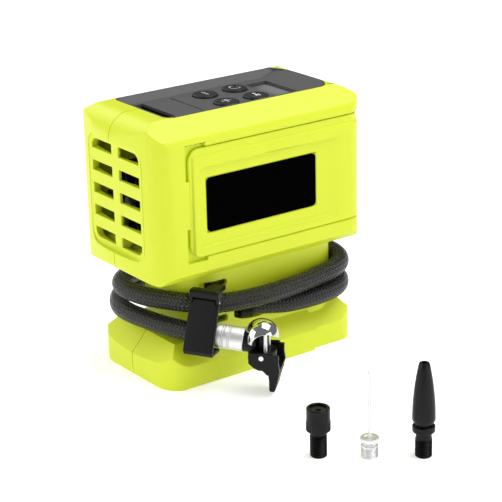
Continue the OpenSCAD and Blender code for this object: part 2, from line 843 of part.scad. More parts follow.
module front_shell() {
    color(lime) difference() {
        union() {
            intersection() {
                shell_solid();
                block(-far, far, -far, 0, -1, far);
            }
            screw_bosses(boss_front_r, -house_w / 2, 0);
        }
        for (p = screw_places) bar_y(-screw_deep - 1, 1, p[0], p[1], screw_r + fit);
        cover_pocket();
    }
}

module rear_shell() {
    color(lime) difference() {
        union() {
            intersection() {
                shell_solid();
                block(-far, far, 0, far, -1, far);
            }
            screw_bosses(boss_rear_r, 0, house_w / 2);
        }
        for (p = screw_places) {
            bar_y(-1, screw_seat + 1, p[0], p[1], screw_r + 0.3);
            bar_y(screw_seat, house_w, p[0], p[1], screw_head_r + 0.3);
        }
        cover_pocket();
    }
}

module shell_screws() {
    color(steel) for (p = screw_places) difference() {
        union() {
            bar_y(-screw_deep, screw_seat + eps, p[0], p[1], screw_r);
            bar_y(screw_seat, screw_seat + screw_head_h, p[0], p[1], screw_head_r);
        }
        translate([p[0], screw_seat + screw_head_h + 1, p[1]]) rotate([90, 0, 0])
            cylinder(r = screw_head_r / 2, h = 2.2, $fn = 6);
    }
}

// ---------- wrap cover ----------

module wrap_cover() {
    color(lime) difference() {
        intersection() {
            along_z(cover_z0, cover_z1) difference() {
                house_plan(0);
                house_plan(cover_t);
            }
            along_y(-far, far) cover_outline(0);
        }
        for (side = [0, 1]) mirror([0, side, 0]) intersection() {
            along_z(cover_z0 + field_margin, cover_z1 - field_margin) polygon([
                [field_x0, -far], [field_x0, -house_w / 2 + field_d],
                [field_x0 + field_len, -house_w / 2 + field_d],
                [field_x0 + field_len + ramp_len, -house_w / 2], [field_x0 + field_len + ramp_len, -far]]);
            along_y(-far, 0) round_rect(field_x0, far, cover_z0 + field_margin, cover_z1 - field_margin, 4, 4);
        }
        block(label_x0 - fit, label_x0 + label_len + fit, -far, -house_w / 2 + field_d + label_t - 0.1,
              cover_mid - label_h / 2 - fit - label_drop(), cover_mid + label_h / 2 + fit - label_drop());
    }
}

// The label sits a little below the cover's middle
function label_drop() = 2.2;

module label_plate() {
    color(black) along_y(-house_w / 2 + field_d - 0.1, -house_w / 2 + field_d + label_t - 0.1 - fit)
        round_rect(label_x0, label_x0 + label_len, cover_mid - label_h / 2 - label_drop(),
                   cover_mid + label_h / 2 - label_drop(), 2.5, 2.5);
}

// ---------- control panel ----------

function button_place(column, row) = [buttons_x + column * button_pitch_x / 2, row * button_pitch_y / 2];
button_places = [for (column = [-1, 1]) for (row = [-1, 1]) button_place(column, row)];

module panel_tray() {
    intersection() {
        along_x(-far, far) polygon([
            [-panel_w / 2 + 0.6, roof_z + eps], [-panel_w / 2 + margin_y, tray_z],
            [panel_w / 2 - margin_y, tray_z], [panel_w / 2 - 0.6, roof_z + eps]]);
        along_y(-far, far) polygon([
            [panel_x0 + 0.6, roof_z + eps], [tray_x0, tray_z], [panel_x1 - margin_x + 1, tray_z],
            [panel_x1 + panel_crown - 1, roof_z + eps]]);
        along_z(tray_z - eps, far) panel_plan(0.6);
    }
}

module control_panel() {
    post_x = [board_x0 + 3, board_x1 - 3];
    color(dark_grey) difference() {
        union() {
            difference() {
                intersection() {
                    along_z(panel_z0, roof_z) panel_plan(0);
                    housing(0, 0);
                }
                panel_tray();
            }
            for (x = post_x) for (y = [-1, 1]) bar_z(board_z, panel_z0 + eps, x, y * (board_w / 2 - 3), 2.2);
            for (y = [-1, 1]) block(lid_x0 + 3, lid_x0 + 7, y * lid_y / 2 - 0.6, y * lid_y / 2 + 0.6,
                                    panel_z0 - 1, tray_z - lid_t - 0.1);
        }
        for (p = button_places) bar_z(panel_z0 - 1, far, p[0], p[1], button_d / 2 + button_gap);
        block(display_x0, display_x1, -display_y / 2, display_y / 2, panel_z0 - 1, far);
        difference() {
            block(lid_open_x0, lid_open_x1, -lid_y / 2 - lid_gap, lid_y / 2 + lid_gap, panel_z0 - 2, far);
            for (y = [-1, 1]) block(lid_x0 + 3, lid_x0 + 7, y * lid_y / 2 - 0.6, y * lid_y / 2 + 0.6,
                                    panel_z0 - 1, tray_z - lid_t - 0.1);
        }
        bar_y(-lid_y / 2 - 2, lid_y / 2 + 2, lid_axis_x, lid_axis_z, lid_pin_r + fit);
    }
}

module display_pane() {
    color("#8f9494") block(display_x0 - 1.2, display_x1 + 1.2, -display_y / 2 - 1.2, display_y / 2 + 1.2,
                           panel_z0 - lens_t, panel_z0);
}

module display_module() {
    color("#3a3d40") block(display_x0 - 1, display_x1 + 1, -display_y / 2 - 1, display_y / 2 + 1,
                           board_z, panel_z0 - lens_t);
}

module button_cap(p) {
    difference() {
        union() {
            bar_z(panel_z0 - flange_gap - flange_t, tray_z + button_proud, p[0], p[1], button_d / 2);
            bar_z(panel_z0 - flange_gap - flange_t, panel_z0 - flange_gap, p[0], p[1], button_d / 2 + 0.9);
        }
        difference() {
            bar_z(panel_z0 - far, tray_z + button_proud - 1.5, p[0], p[1], button_d / 2 - 1.2);
            bar_z(panel_z0 - far, far, p[0], p[1], 2);
        }
    }
}

// Raised marks on the buttons, read from the vent end
module mark(p, size_x, size_y, dx, dy) {
    translate([p[0] + dx - size_x / 2, p[1] + dy - size_y / 2, tray_z + button_proud - eps])
        cube([size_x, size_y, 0.2]);
}

module minus_button() {
    p = button_place(-1, 1);
    color(black) button_cap(p);
    color("white") mark(p, 0.9, 4.6, 0, 0);
}

module plus_button() {
    p = button_place(-1, -1);
    color(black) button_cap(p);
    color("white") union() {
        mark(p, 0.9, 4.6, 0, 0);
        mark(p, 4.6, 0.9, 0, 0);
    }
}

module mode_button() {
    p = button_place(1, -1);
    color(black) button_cap(p);
    color("white") mark(p, 3, 3, -1.4, -1.4);
    color("white") mark(p, 2.2, 2.2, 1.5, 1.5);
}

module power_button() {
    p = button_place(1, 1);
    color(black) button_cap(p);
    color("white") {
        translate([p[0], p[1], tray_z + button_proud - eps]) difference() {
            cylinder(r = 2.5, h = 0.2);
            translate([0, 0, -1]) cylinder(r = 1.8, h = 3);
            translate([0, -0.9, -1]) cube([4, 1.8, 3]);
        }
        mark(p, 2.6, 0.7, 1.7, 0);
    }
}

module tact_switches() {
    color(black) for (p = button_places) {
        block(p[0] - switch_w / 2, p[0] + switch_w / 2, p[1] - switch_w / 2, p[1] + switch_w / 2,
              board_z, board_z + 3);
        bar_z(board_z + 3 - eps, panel_z0 - flange_gap - flange_t - button_travel - switch_gap, p[0], p[1],
              plunger_r);
    }
}

module circuit_board() {
    color("#1f6b3a") block(board_x0, board_x1, -board_w / 2, board_w / 2, board_z - board_t, board_z);
}

// ---------- storage bin ----------

module storage_lid() {
    color(dark_grey) difference() {
        union() {
            block(lid_x0, lid_axis_x, -lid_y / 2, lid_y / 2, tray_z - lid_t, tray_z);
            bar_y(-lid_y / 2, lid_y / 2, lid_axis_x, lid_axis_z, lid_barrel_r);
        }
        bar_y(-lid_y, lid_y, lid_axis_x, lid_axis_z, lid_pin_r + fit);
    }
}

module lid_pin() {
    color(steel) bar_y(-lid_y / 2 - 1.8, lid_y / 2 + 1.8, lid_axis_x, lid_axis_z, lid_pin_r);
}

module storage_bin() {
    color(dark_grey) difference() {
        block(bin_x0 - bin_wall, bin_x1 + bin_wall, -bin_y / 2 - bin_wall, bin_y / 2 + bin_wall,
              bin_floor - bin_wall, panel_z0);
        block(bin_x0, bin_x1, -bin_y / 2, bin_y / 2, bin_floor, panel_z0 + 1);
    }
}

// ---------- motor and compressor ----------

module motor_can() {
    color(steel) difference() {
        union() {
            bar_x(motor_x0, plate_x0, 0, motor_z, motor_d / 2);
            bar_x(motor_x0 - 3, motor_x0 + eps, 0, motor_z, motor_d / 5);
            bar_x(plate_x0 - eps, plate_x1 - 0.5, 0, motor_z, shaft_r + 3);
        }
        bar_x(motor_x0 - far, far, 0, motor_z, shaft_r + fit);
    }
}

module motor_shaft() {
    color(steel) bar_x(fan_x0 - 1, gear_x1 + 0.5, 0, motor_z, shaft_r);
}

module pinion() {
    mesh_angle = atan2(gear_z - motor_z, -gear_y);
    color(brass) difference() {
        translate([0, 0, motor_z]) along_x(gear_x0 - 0.3, gear_x1 + 0.3)
            gear_outline(pinion_teeth, mesh_angle + 180 / pinion_teeth);
        bar_x(-far, far, 0, motor_z, shaft_r + fit / 5);
    }
}

module cooling_fan() {
    hub_r = shaft_r + 3;
    color(black) difference() {
        union() {
            bar_x(fan_x0, fan_x0 + fan_w, 0, motor_z, hub_r);
            bar_x(fan_x0 + fan_w - 1.5, fan_x0 + fan_w, 0, motor_z, fan_r);
            translate([0, 0, motor_z]) for (i = [0 : fan_blades - 1]) rotate([i * 360 / fan_blades, 0, 0])
                block(fan_x0, fan_x0 + fan_w - 1, hub_r - 1, fan_r - 0.5, -0.6, 0.6);
        }
        bar_x(-far, far, 0, motor_z, shaft_r + fit / 5);
    }
}

module compressor_frame() {
    plate_top = motor_z + motor_d / 2 + 3;
    color(cast) difference() {
        union() {
            block(plate_x0, plate_x1, -house_w / 2 + side_wall + joint_gap, cylinder_y1, inner_floor + joint_gap,
                  plate_top);
            bar_y(cylinder_y0, cylinder_y1, rod_x, gear_z, cylinder_r);
            block(rod_x - flange_half, rod_x + flange_half, cylinder_y1 - 3, cylinder_y1,
                  gear_z - flange_half, gear_z + flange_half);
            block(plate_x0, rod_x, cylinder_y0, cylinder_y1, gear_z - 3, gear_z + 3);
        }
        bar_y(0, far, rod_x, gear_z, bore_r);
        bar_x(-far, far, 0, motor_z, shaft_r + 3 + fit);
        bar_x(-far, plate_x1 + eps, -gear_y, gear_z, axle_r + fit / 5);
        for (x = [-1, 1]) for (z = [-1, 1])
            bar_y(cylinder_y1 - 4, far, rod_x + x * head_screw, gear_z + z * head_screw, 1 + fit);
    }
}

module gear_axle() {
    color(steel) bar_x(plate_x0, gear_x1 - 1.8, -gear_y, gear_z, axle_r);
}

module drive_gear() {
    color(steel) difference() {
        union() {
            translate([0, -gear_y, gear_z]) along_x(gear_x0, gear_x1)
                gear_outline(gear_teeth, atan2(motor_z - gear_z, gear_y));
            bar_x(gear_x1 - eps, web_x1, -gear_y, gear_z, web_r);
        }
        bar_x(-far, gear_x1 - 1.5, -gear_y, gear_z, axle_r + fit);
        bar_x(gear_x1, far, crank_pin_y, gear_z, crank_pin_r + fit / 5);
    }
}

module crank_pin() {
    color(steel) bar_x(gear_x1, rod_x + rod_t / 2 + 1, crank_pin_y, gear_z, crank_pin_r);
}

module connecting_rod() {
    color(cast) difference() {
        union() {
            bar_x(rod_x - rod_t / 2, rod_x + rod_t / 2, crank_pin_y, gear_z, big_end_r);
            bar_x(rod_x - rod_t / 2, rod_x + rod_t / 2, wrist_y, gear_z, small_end_r);
            block(rod_x - rod_t / 2, rod_x + rod_t / 2, crank_pin_y, wrist_y, gear_z - 1.6, gear_z + 1.6);
        }
        bar_x(-far, far, crank_pin_y, gear_z, crank_pin_r + fit);
        bar_x(-far, far, wrist_y, gear_z, wrist_pin_r + fit / 5);
    }
}

module wrist_pin() {
    color(steel) bar_x(rod_x - rod_t / 2 - 1.5, rod_x + rod_t / 2 + 1.5, wrist_y, gear_z, wrist_pin_r);
}

module piston() {
    color(cast) difference() {
        bar_y(piston_y0, piston_y1, rod_x, gear_z, piston_r);
        bar_y(0, piston_y1 - 1.8, rod_x, gear_z, piston_r - skirt_t);
        difference() {
            bar_y(piston_y1 - 1.2 - ring_w, piston_y1 - 1.2, rod_x, gear_z, far / 2);
            bar_y(0, far, rod_x, gear_z, piston_r - ring_groove);
        }
    }
}

module piston_ring() {
    color(black) difference() {
        bar_y(piston_y1 - 1.2 - ring_w + fit, piston_y1 - 1.2 - fit, rod_x, gear_z, piston_r + fit / 2);
        bar_y(0, far, rod_x, gear_z, piston_r - ring_groove + fit);
    }
}

module head_plan(y0, y1) {
    difference() {
        block(rod_x - flange_half, rod_x + flange_half, y0, y1, gear_z - flange_half, gear_z + flange_half);
        for (x = [-1, 1]) for (z = [-1, 1])
            bar_y(y0 - 1, y1 + 1, rod_x + x * head_screw, gear_z + z * head_screw, 1 + fit);
    }
}

module head_gasket() {
    color(black) difference() {
        head_plan(cylinder_y1, head_y0);
        bar_y(0, far, rod_x, gear_z, bore_r - 1);
    }
}

module cylinder_head() {
    color(cast) difference() {
        union() {
            head_plan(head_y0, head_y1);
            bar_x(nipple_x, rod_x - flange_half + 1, nipple_y, nipple_z, air_tube_r);
        }
        bar_x(nipple_x - 1, rod_x - 4, nipple_y, nipple_z, air_tube_r - 1);
        bar_y(head_y0 - 1, head_y0 + 1.5, rod_x, gear_z, bore_r - 3);
    }
}

module head_screws() {
    color(steel) for (x = [-1, 1]) for (z = [-1, 1]) {
        bar_y(cylinder_y1 - 3, head_y1 + eps, rod_x + x * head_screw, gear_z + z * head_screw, 1);
        bar_y(head_y1, head_y1 + head_screw_h, rod_x + x * head_screw, gear_z + z * head_screw, 1.9);
    }
}

module air_tube() {
    color(black) tube(air_path, air_tube_r, 8, [-1, 0, 0], [cos(gland_turn), sin(gland_turn), 0]);
}

module power_leads() {
    for (lead = [0, 1]) color(lead == 0 ? "firebrick" : black) {
        x = socket_at - 6 + 4 * lead;
        tube([[x, -8, socket_top + socket_wall], [x, -8, socket_top + 8], [x, -14, 63], [x, -21, 69],
              [x, -24.5, 78], [x, -25, 92], [x, -24, 106], [x, -18, 115], [x, -15, 118.5],
              [x, -15, board_z - board_t]], 1.1, 8, [0, 0.001, 1], [0, 0.001, 1]);
    }
}

// ---------- battery connection ----------

module terminal_block() {
    color(black) difference() {
        block(socket_at - 15, socket_at + 15, -9, 9, socket_top - 5, socket_top);
        for (i = [-1 : 1]) blade(i, fit / 5);
    }
}

module blade(i, grow) {
    block(socket_at + i * 9 - 0.5 - grow, socket_at + i * 9 + 0.5 + grow, -4 - grow, 4 + grow,
          socket_top - 5 - blade_len, socket_top - 1 + grow);
}

module contact_blades() {
    color(brass) for (i = [-1 : 1]) blade(i, 0);
}

// ---------- hose, gland and clip ----------

module hose_gland() {
    color(black) gland_axis() {
        translate([0, 0, -gland_len]) cylinder(r = gland_r, h = gland_len);
        translate([0, 0, -gland_len - gland_inner]) cylinder(r = gland_step, h = gland_inner + eps);
    }
}

module air_hose() {
    color(black) tube(hose_path, hose_r, 6, [cos(gland_turn), sin(gland_turn), 0], ferrule_dir);
}

module hose_end_frame() {
    translate(hose_end) rotate([0, 90 - ferrule_slope, ferrule_turn]) children();
}

module hose_ferrule() {
    color(steel) hose_end_frame() difference() {
        cylinder(r = ferrule_r, h = ferrule_len);
        for (z = [3, 6]) translate([0, 0, z]) difference() {
            cylinder(r = ferrule_r + 1, h = 0.8);
            translate([0, 0, -1]) cylinder(r = ferrule_r - 0.3, h = 3);
        }
    }
}

module clip_frame() {
    translate(clip_at) rotate([0, 0, clip_turn]) children();
}

// A bar across the clip, along its hinge
module clip_bar(half, r) {
    translate([clip_hinge_n, half, clip_hinge_z]) rotate([90, 0, 0]) cylinder(r = r, h = 2 * half);
}

// The two ends of the clip's width, where its lugs sit
module lug_ends(inner, r) {
    difference() {
        clip_bar(clip_w / 2, r);
        clip_bar(inner, r + 1);
    }
}

module clip_base() {
    color(black) clip_frame() difference() {
        union() {
            translate([clip_hinge_n - 1, clip_w / 2, 0]) rotate([90, 0, 0]) linear_extrude(height = clip_w)
                round_rect(-3, 2.4, clip_block_z0, clip_block_z1, 0.6, 1.4);
            block(0, clip_hinge_n - 2, -clip_arm_w / 2, clip_arm_w / 2, slot_1_z - clip_arm_t / 2,
                  slot_1_z + clip_arm_t / 2);
            lug_ends(clip_w / 2 - lug_w, lug_r);
            for (side = [-1, 1]) translate([0, side * (clip_w - lug_w) / 2, 0])
                block(clip_hinge_n - lug_r, clip_hinge_n + lug_r, -lug_w / 2, lug_w / 2, clip_hinge_z,
                      clip_block_z0 + 1);
        }
        clip_bar(clip_w, clip_pin_r);
    }
}

module clip_pin() {
    color(steel) clip_frame() clip_bar(clip_w / 2, clip_pin_r);
}

module clip_leaf() {
    rise = clip_hinge_z - clip_foot_z;
    run = clip_foot_n - clip_hinge_n;
    lean = atan2(run, rise);
    color(black) clip_frame() difference() {
        union() {
            clip_bar(clip_w / 2, leaf_tip_r);
            translate([0, clip_w / 2, 0]) rotate([90, 0, 0]) linear_extrude(height = clip_w) polygon([
                [clip_hinge_n - leaf_tip_r * cos(lean), clip_hinge_z - leaf_tip_r * sin(lean)],
                [clip_hinge_n + leaf_tip_r * cos(lean), clip_hinge_z + leaf_tip_r * sin(lean)],
                [clip_foot_n + clip_t - leaf_tip_r, clip_foot_z],
                [clip_foot_n + clip_t - 2, clip_foot_z - clip_t],
                [clip_foot_n - lip_len, clip_foot_z - clip_t],
                [clip_foot_n - lip_len, clip_foot_z - 0.4],
                [clip_foot_n - leaf_tip_r, clip_foot_z - 0.4]]);
        }
        lug_ends(clip_w / 2 - lug_w - joint_gap, lug_r + joint_gap);
        clip_bar(clip_w, clip_pin_r + fit);
    }
}

// ---------- chuck ----------

// The chuck's own frame: X along the lever's pivot, -Y away from the hose
module chuck_frame() {
    translate([chuck_x, chuck_y, 0]) rotate([0, 0, ferrule_turn + 90]) children();
}

module chuck_body() {
    color(black) difference() {
        union() {
            chuck_frame() {
                cylinder_z(chuck_z0, chuck_z1, chuck_r);
                cylinder_z(chuck_z1 - eps, cap_ceiling, core_r);
            }
            hose_end_frame() translate([0, 0, ferrule_len]) cylinder(r = collar_r, h = cap_r - 2);
        }
        chuck_frame() {
            cylinder_z(0, seal_z0 + seal_t, valve_bore_r);
            cylinder_z(0, plunger_z1, plunger_bore_r);
            cylinder_z(seal_z0, seal_z0 + seal_t, seal_r + fit);
            for (side = [0, 1]) mirror([side, 0, 0])
                bar_x(pin_depth, far, -lever_axis_f, lever_axis_z, lever_pin_r + fit / 5);
        }
    }
}

module cylinder_z(z0, z1, r) {
    translate([0, 0, z0]) cylinder(r = r, h = z1 - z0);
}

module chuck_cap() {
    color(steel) chuck_frame() difference() {
        rotate_extrude() polygon(concat([[cap_r - cap_wall, cap_z0], [cap_r, cap_z0]],
            arc([0, cap_mid], cap_r, 0, 90, 2 * corner_steps),
            [[0, cap_ceiling], [cap_r - cap_wall, cap_ceiling]]));
        bar_x(-far, far, arch_at[0], arch_at[1], arch_r);
        block(-collar_r - 0.2, collar_r + 0.2, 2, far, 0, cap_ceiling + fit);
    }
}

module chuck_plunger() {
    color(steel) chuck_frame() cylinder_z(seal_z0 + seal_t + joint_gap, plunger_z1, plunger_bore_r - 2 * fit);
}

module chuck_posts() {
    color(steel) chuck_frame() for (side = [-1, 1]) translate([side * 4.6, -2.4, 0])
        cylinder_z(chuck_z1, cap_ceiling, post_r);
}

module chuck_seal() {
    color(black) chuck_frame() difference() {
        cylinder_z(seal_z0, seal_z0 + seal_t, seal_r);
        cylinder_z(0, far, valve_bore_r);
    }
}

module chuck_lever() {
    outer = cheek_x + cheek_t;
    web_z = chuck_z0 - 0.4;
    color(black) chuck_frame() difference() {
        union() {
            for (side = [-1, 1]) along_x(side * (cheek_x + cheek_t / 2) - cheek_t / 2,
                                         side * (cheek_x + cheek_t / 2) + cheek_t / 2) {
                intersection() {
                    translate([-lever_axis_f, lever_axis_z]) circle(cheek_r);
                    translate([-far / 2, 0]) square([far, cheek_top]);
                }
                polygon([[0, cheek_top], [-9.4, cheek_top - 1.2], [-9.2, lever_axis_z - 2], [-9.8, web_z],
                         [-9.3, web_z - 2.4], [-3.6, web_z - 2.4], [-1, lever_axis_z - cheek_r + 0.5]]);
            }
            along_x(-outer, outer) polygon([[-6.9, web_z], [-9.8, web_z], [-9.3, web_z - 2.4],
                                            [-4.4, web_z - 2.4]]);
            along_x(-pad_w / 2, pad_w / 2) polygon([[-9.3, web_z - 2.3], [-6.9, 2.9], [-6.3, 2.3], [-4.5, 2.3],
                                                    [-4, 3], [-4, web_z - 2.3]]);
        }
        bar_x(-far, far, -lever_axis_f, lever_axis_z, lever_pin_r + fit);
    }
}

module lever_pins() {
    color(steel) chuck_frame() for (side = [0, 1]) mirror([side, 0, 0])
        bar_x(pin_depth, cheek_x + cheek_t, -lever_axis_f, lever_axis_z, lever_pin_r);
}

// ---------- adaptors, standing on the floor in front ----------

presta_at = [-43.3, -128.3];
needle_at = [-26.2, -143.3];
nozzle_at = [-6.8, -157.5];
presta_thread = 11.8;
needle_thread = 5.8;
nozzle_thread = 9.6;

// A threaded spigot: rings at the thread's pitch stand for the turns
module threaded(length) {
    turns = floor((length - 1) / thread_pitch);
    difference() {
        cylinder(r = thread_r, h = length);
        for (i = [0 : turns - 1]) translate([0, 0, 0.6 + i * thread_pitch]) rotate_extrude()
            polygon([[thread_r - 0.45, thread_pitch / 2], [thread_r + 0.1, 0.05],
                     [thread_r + 0.1, thread_pitch - 0.05]]);
    }
}

module presta_body() {
    color(black) translate([presta_at[0], presta_at[1], 0]) difference() {
        union() {
            threaded(presta_thread);
            translate([0, 0, presta_thread - eps]) cylinder(r1 = thread_r, r2 = presta_r + 0.2, h = 1);
            translate([0, 0, presta_thread + 0.9]) cylinder(r = presta_r + 0.2, h = 4.5);
            translate([0, 0, presta_thread + 5.3]) cylinder(r = presta_r, h = presta_h - presta_thread - 5.3);
        }
        translate([0, 0, presta_h - 6]) cylinder(r = thread_r, h = 7);
        translate([0, 0, -1]) cylinder(r = 1.3, h = presta_h);
    }
}

module presta_seal() {
    color("#2b2b2d") translate([presta_at[0], presta_at[1], presta_h - 6]) difference() {
        cylinder(r = thread_r, h = 4.6);
        translate([0, 0, -1]) cylinder(r = 1.4, h = 8);
    }
}

module needle_base() {
    color(steel) translate([needle_at[0], needle_at[1], 0]) difference() {
        union() {
            threaded(needle_thread);
            translate([0, 0, needle_thread - eps]) cylinder(r1 = 2.9, r2 = 4.3, h = 2.2);
            translate([0, 0, needle_thread + 2.1]) cylinder(r = 4.3, h = 1.9);
        }
        translate([0, 0, -1]) cylinder(r = needle_r + fit / 5, h = 20);
    }
}

module needle_stem() {
    color(steel) translate([needle_at[0], needle_at[1], 0]) difference() {
        union() {
            translate([0, 0, 1]) cylinder(r = needle_r, h = needle_h - 1 - needle_r);
            translate([0, 0, needle_h - needle_r]) sphere(r = needle_r);
        }
        translate([0, 0, 0]) cylinder(r = needle_r - 0.3, h = needle_h - 4);
        translate([-5, 0, needle_h - 5]) rotate([0, 90, 0]) cylinder(r = 0.4, h = 10);
    }
}

module tapered_nozzle() {
    shank = thread_r - 0.3;
    body_z = nozzle_thread + 7;
    tip_z = nozzle_h;
    color(black) translate([nozzle_at[0], nozzle_at[1], 0]) difference() {
        union() {
            threaded(nozzle_thread);
            translate([0, 0, nozzle_thread - eps]) cylinder(r = shank, h = 7.1);
            translate([0, 0, nozzle_thread + 2.5]) cylinder(r = nozzle_r - 0.1, h = 3);
            rotate_extrude() polygon(concat([[0, body_z], [nozzle_r, body_z]],
                [for (i = [0 : 12]) let(t = i / 12) [nozzle_r - (nozzle_r - 2.5) * t * t, body_z + 1
                 + (tip_z - body_z - 1.6) * t]], [[2.1, tip_z], [0, tip_z]]));
        }
        translate([0, 0, -1]) cylinder(r = 1.3, h = nozzle_h + 5);
    }
}

echo(hose_gap = self_gap(halfway(hose_path), hose_r, 12));
echo(hose_length = path_length(hose_path));
echo(air_tube_gap = self_gap(halfway(air_path), air_tube_r, 8));

front_shell();
rear_shell();
shell_screws();
wrap_cover();
label_plate();
control_panel();
display_pane();
display_module();
minus_button();
power_button();
plus_button();
mode_button();
tact_switches();
circuit_board();
storage_lid();
lid_pin();
storage_bin();
motor_can();
motor_shaft();
pinion();
cooling_fan();
compressor_frame();
gear_axle();
drive_gear();
crank_pin();
connecting_rod();
wrist_pin();
piston();
piston_ring();
cylinder_head();
head_gasket();
head_screws();
air_tube();
power_leads();
terminal_block();
contact_blades();
hose_gland();
air_hose();
hose_ferrule();
clip_base();
clip_pin();
clip_leaf();
chuck_body();
chuck_cap();
chuck_plunger();
chuck_posts();
chuck_seal();
chuck_lever();
lever_pins();
presta_body();
presta_seal();
needle_base();
needle_stem();
tapered_nozzle();
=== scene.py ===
import json
import math

import bmesh
import bpy
from mathutils import Matrix, Vector

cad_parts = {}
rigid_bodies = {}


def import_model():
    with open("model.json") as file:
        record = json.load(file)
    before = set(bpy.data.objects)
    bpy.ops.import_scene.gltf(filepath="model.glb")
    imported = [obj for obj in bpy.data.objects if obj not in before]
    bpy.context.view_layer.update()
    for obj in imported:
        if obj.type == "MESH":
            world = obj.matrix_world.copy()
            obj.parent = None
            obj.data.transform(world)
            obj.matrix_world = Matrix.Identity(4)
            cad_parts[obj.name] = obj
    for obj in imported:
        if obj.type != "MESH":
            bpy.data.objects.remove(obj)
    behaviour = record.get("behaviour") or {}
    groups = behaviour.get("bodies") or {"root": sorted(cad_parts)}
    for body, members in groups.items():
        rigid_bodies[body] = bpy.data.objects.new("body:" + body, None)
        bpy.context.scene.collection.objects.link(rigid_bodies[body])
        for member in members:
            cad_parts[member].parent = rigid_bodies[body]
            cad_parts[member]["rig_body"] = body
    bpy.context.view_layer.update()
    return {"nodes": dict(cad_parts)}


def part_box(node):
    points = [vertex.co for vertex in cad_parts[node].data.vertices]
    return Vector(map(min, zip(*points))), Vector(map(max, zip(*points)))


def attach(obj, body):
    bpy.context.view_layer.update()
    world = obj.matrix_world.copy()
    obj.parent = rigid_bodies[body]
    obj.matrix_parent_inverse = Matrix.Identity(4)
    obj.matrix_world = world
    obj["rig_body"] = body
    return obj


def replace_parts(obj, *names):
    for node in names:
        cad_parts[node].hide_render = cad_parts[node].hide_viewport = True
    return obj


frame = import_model()
mm = 0.001


# -------------------------------------------------------- camera, lamps and floor
# A long lens looks down on the housing's front and vent end. Four soft lamps and a pale
# world light it evenly, and it stands on a plain white floor that glows a little.

camera_yaw, camera_pitch, camera_roll = 35.65, 19.77, 1.34
camera_place = (-0.4970, -0.7127, 0.3636)
lens_px, frame_px, sensor_mm = 1831, 502, 36

camera_data = bpy.data.cameras.new("camera")
camera_data.sensor_width = sensor_mm
camera_data.lens = sensor_mm * lens_px / frame_px
camera_data.clip_start = 0.05
camera_data.clip_end = 20
camera = bpy.data.objects.new("camera", camera_data)
camera.matrix_world = (
    Matrix.Translation(camera_place)
    @ Matrix.Rotation(math.radians(-camera_yaw), 4, "Z")
    @ Matrix.Rotation(math.radians(90 - camera_pitch), 4, "X")
    @ Matrix.Rotation(math.radians(-camera_roll), 4, "Z")
)
bpy.context.scene.collection.objects.link(camera)
bpy.context.scene.camera = camera
bpy.context.scene.view_settings.view_transform = "Standard"

lamps = {
    "top": {"place": (0.40, -0.35, 1.25), "size": 1.00, "watts": 11.5},
    "back": {"place": (-0.15, 1.15, 0.90), "size": 0.90, "watts": 4.5},
    "end": {"place": (-1.15, 0.40, 0.40), "size": 0.90, "watts": 6.0},
    "front": {"place": (0.30, -1.35, 0.25), "size": 0.90, "watts": 4.6},
}
lit_point = Vector((0, -0.02, 0.07))
for name, lamp in lamps.items():
    light = bpy.data.lights.new(name, "AREA")
    light.size = lamp["size"]
    light.energy = lamp["watts"]
    holder = bpy.data.objects.new(name, light)
    aim = lit_point - Vector(lamp["place"])
    facing = aim.to_track_quat("-Z", "Y").to_matrix().to_4x4()
    holder.matrix_world = Matrix.Translation(lamp["place"]) @ facing
    bpy.context.scene.collection.objects.link(holder)


class Wire:
    """A value on its way through a material; sums on it add Math nodes."""

    def __init__(self, finish, socket):
        self.finish = finish
        self.socket = socket

    def maths(self, operation, *values):
        inputs = dict(enumerate(values))
        return self.finish.node("ShaderNodeMath", {"operation": operation}, inputs)

    def __add__(self, other):
        return self.maths("ADD", self, other)

    def __sub__(self, other):
        return self.maths("SUBTRACT", self, other)

    def __mul__(self, other):
        return self.maths("MULTIPLY", self, other)

    def __mod__(self, other):
        return self.maths("FLOORED_MODULO", self, other)

    def __rsub__(self, other):
        return self.maths("SUBTRACT", other, self)

    __radd__ = __add__

    def sine(self):
        return self.maths("SINE", self)

    def floor(self):
        return self.maths("FLOOR", self)

    def clamped(self):
        return self.finish.node("ShaderNodeClamp", {}, {"Value": self})


class Finish:
    """A material on one Principled shader, its fixed numbers set on the shader itself."""

    def __init__(self, name, colour, fixed):
        self.material = bpy.data.materials.new(name)
        self.material.use_nodes = True
        self.tree = self.material.node_tree
        self.shader = self.tree.nodes["Principled BSDF"]
        self.colour = colour
        self.shader.inputs["Base Color"].default_value = (*colour, 1)
        for socket, value in fixed.items():
            self.shader.inputs[socket].default_value = value

    def node(self, kind, settings, inputs, output=0):
        made = self.tree.nodes.new(kind)
        for key, value in settings.items():
            setattr(made, key, value)
        for key, value in inputs.items():
            if isinstance(value, Wire):
                self.tree.links.new(value.socket, made.inputs[key])
            else:
                made.inputs[key].default_value = value
        return Wire(self, made.outputs[output])

    def feed(self, socket, wire):
        self.tree.links.new(wire.socket, self.shader.inputs[socket])

    def place(self):
        return self.node("ShaderNodeTexCoord", {}, {}, "Object")

    def noise(self, scale, detail=2.0, vector=None):
        inputs = {"Vector": vector or self.place(), "Scale": scale, "Detail": detail}
        return self.node("ShaderNodeTexNoise", {}, inputs, "Fac")

    def shade(self, amount, darkest, lightest):
        """The base colour, darker or lighter by where amount runs from 0 to 1."""
        low = (*[c * darkest for c in self.colour], 1)
        high = (*[min(1, c * lightest) for c in self.colour], 1)
        inputs = {0: amount, 6: low, 7: high}
        self.feed("Base Color", self.node("ShaderNodeMix", {"data_type": "RGBA"}, inputs, 2))

    def relief(self, height, depth):
        inputs = {"Height": height, "Distance": depth, "Strength": 1.0}
        self.feed("Normal", self.node("ShaderNodeBump", {}, inputs))


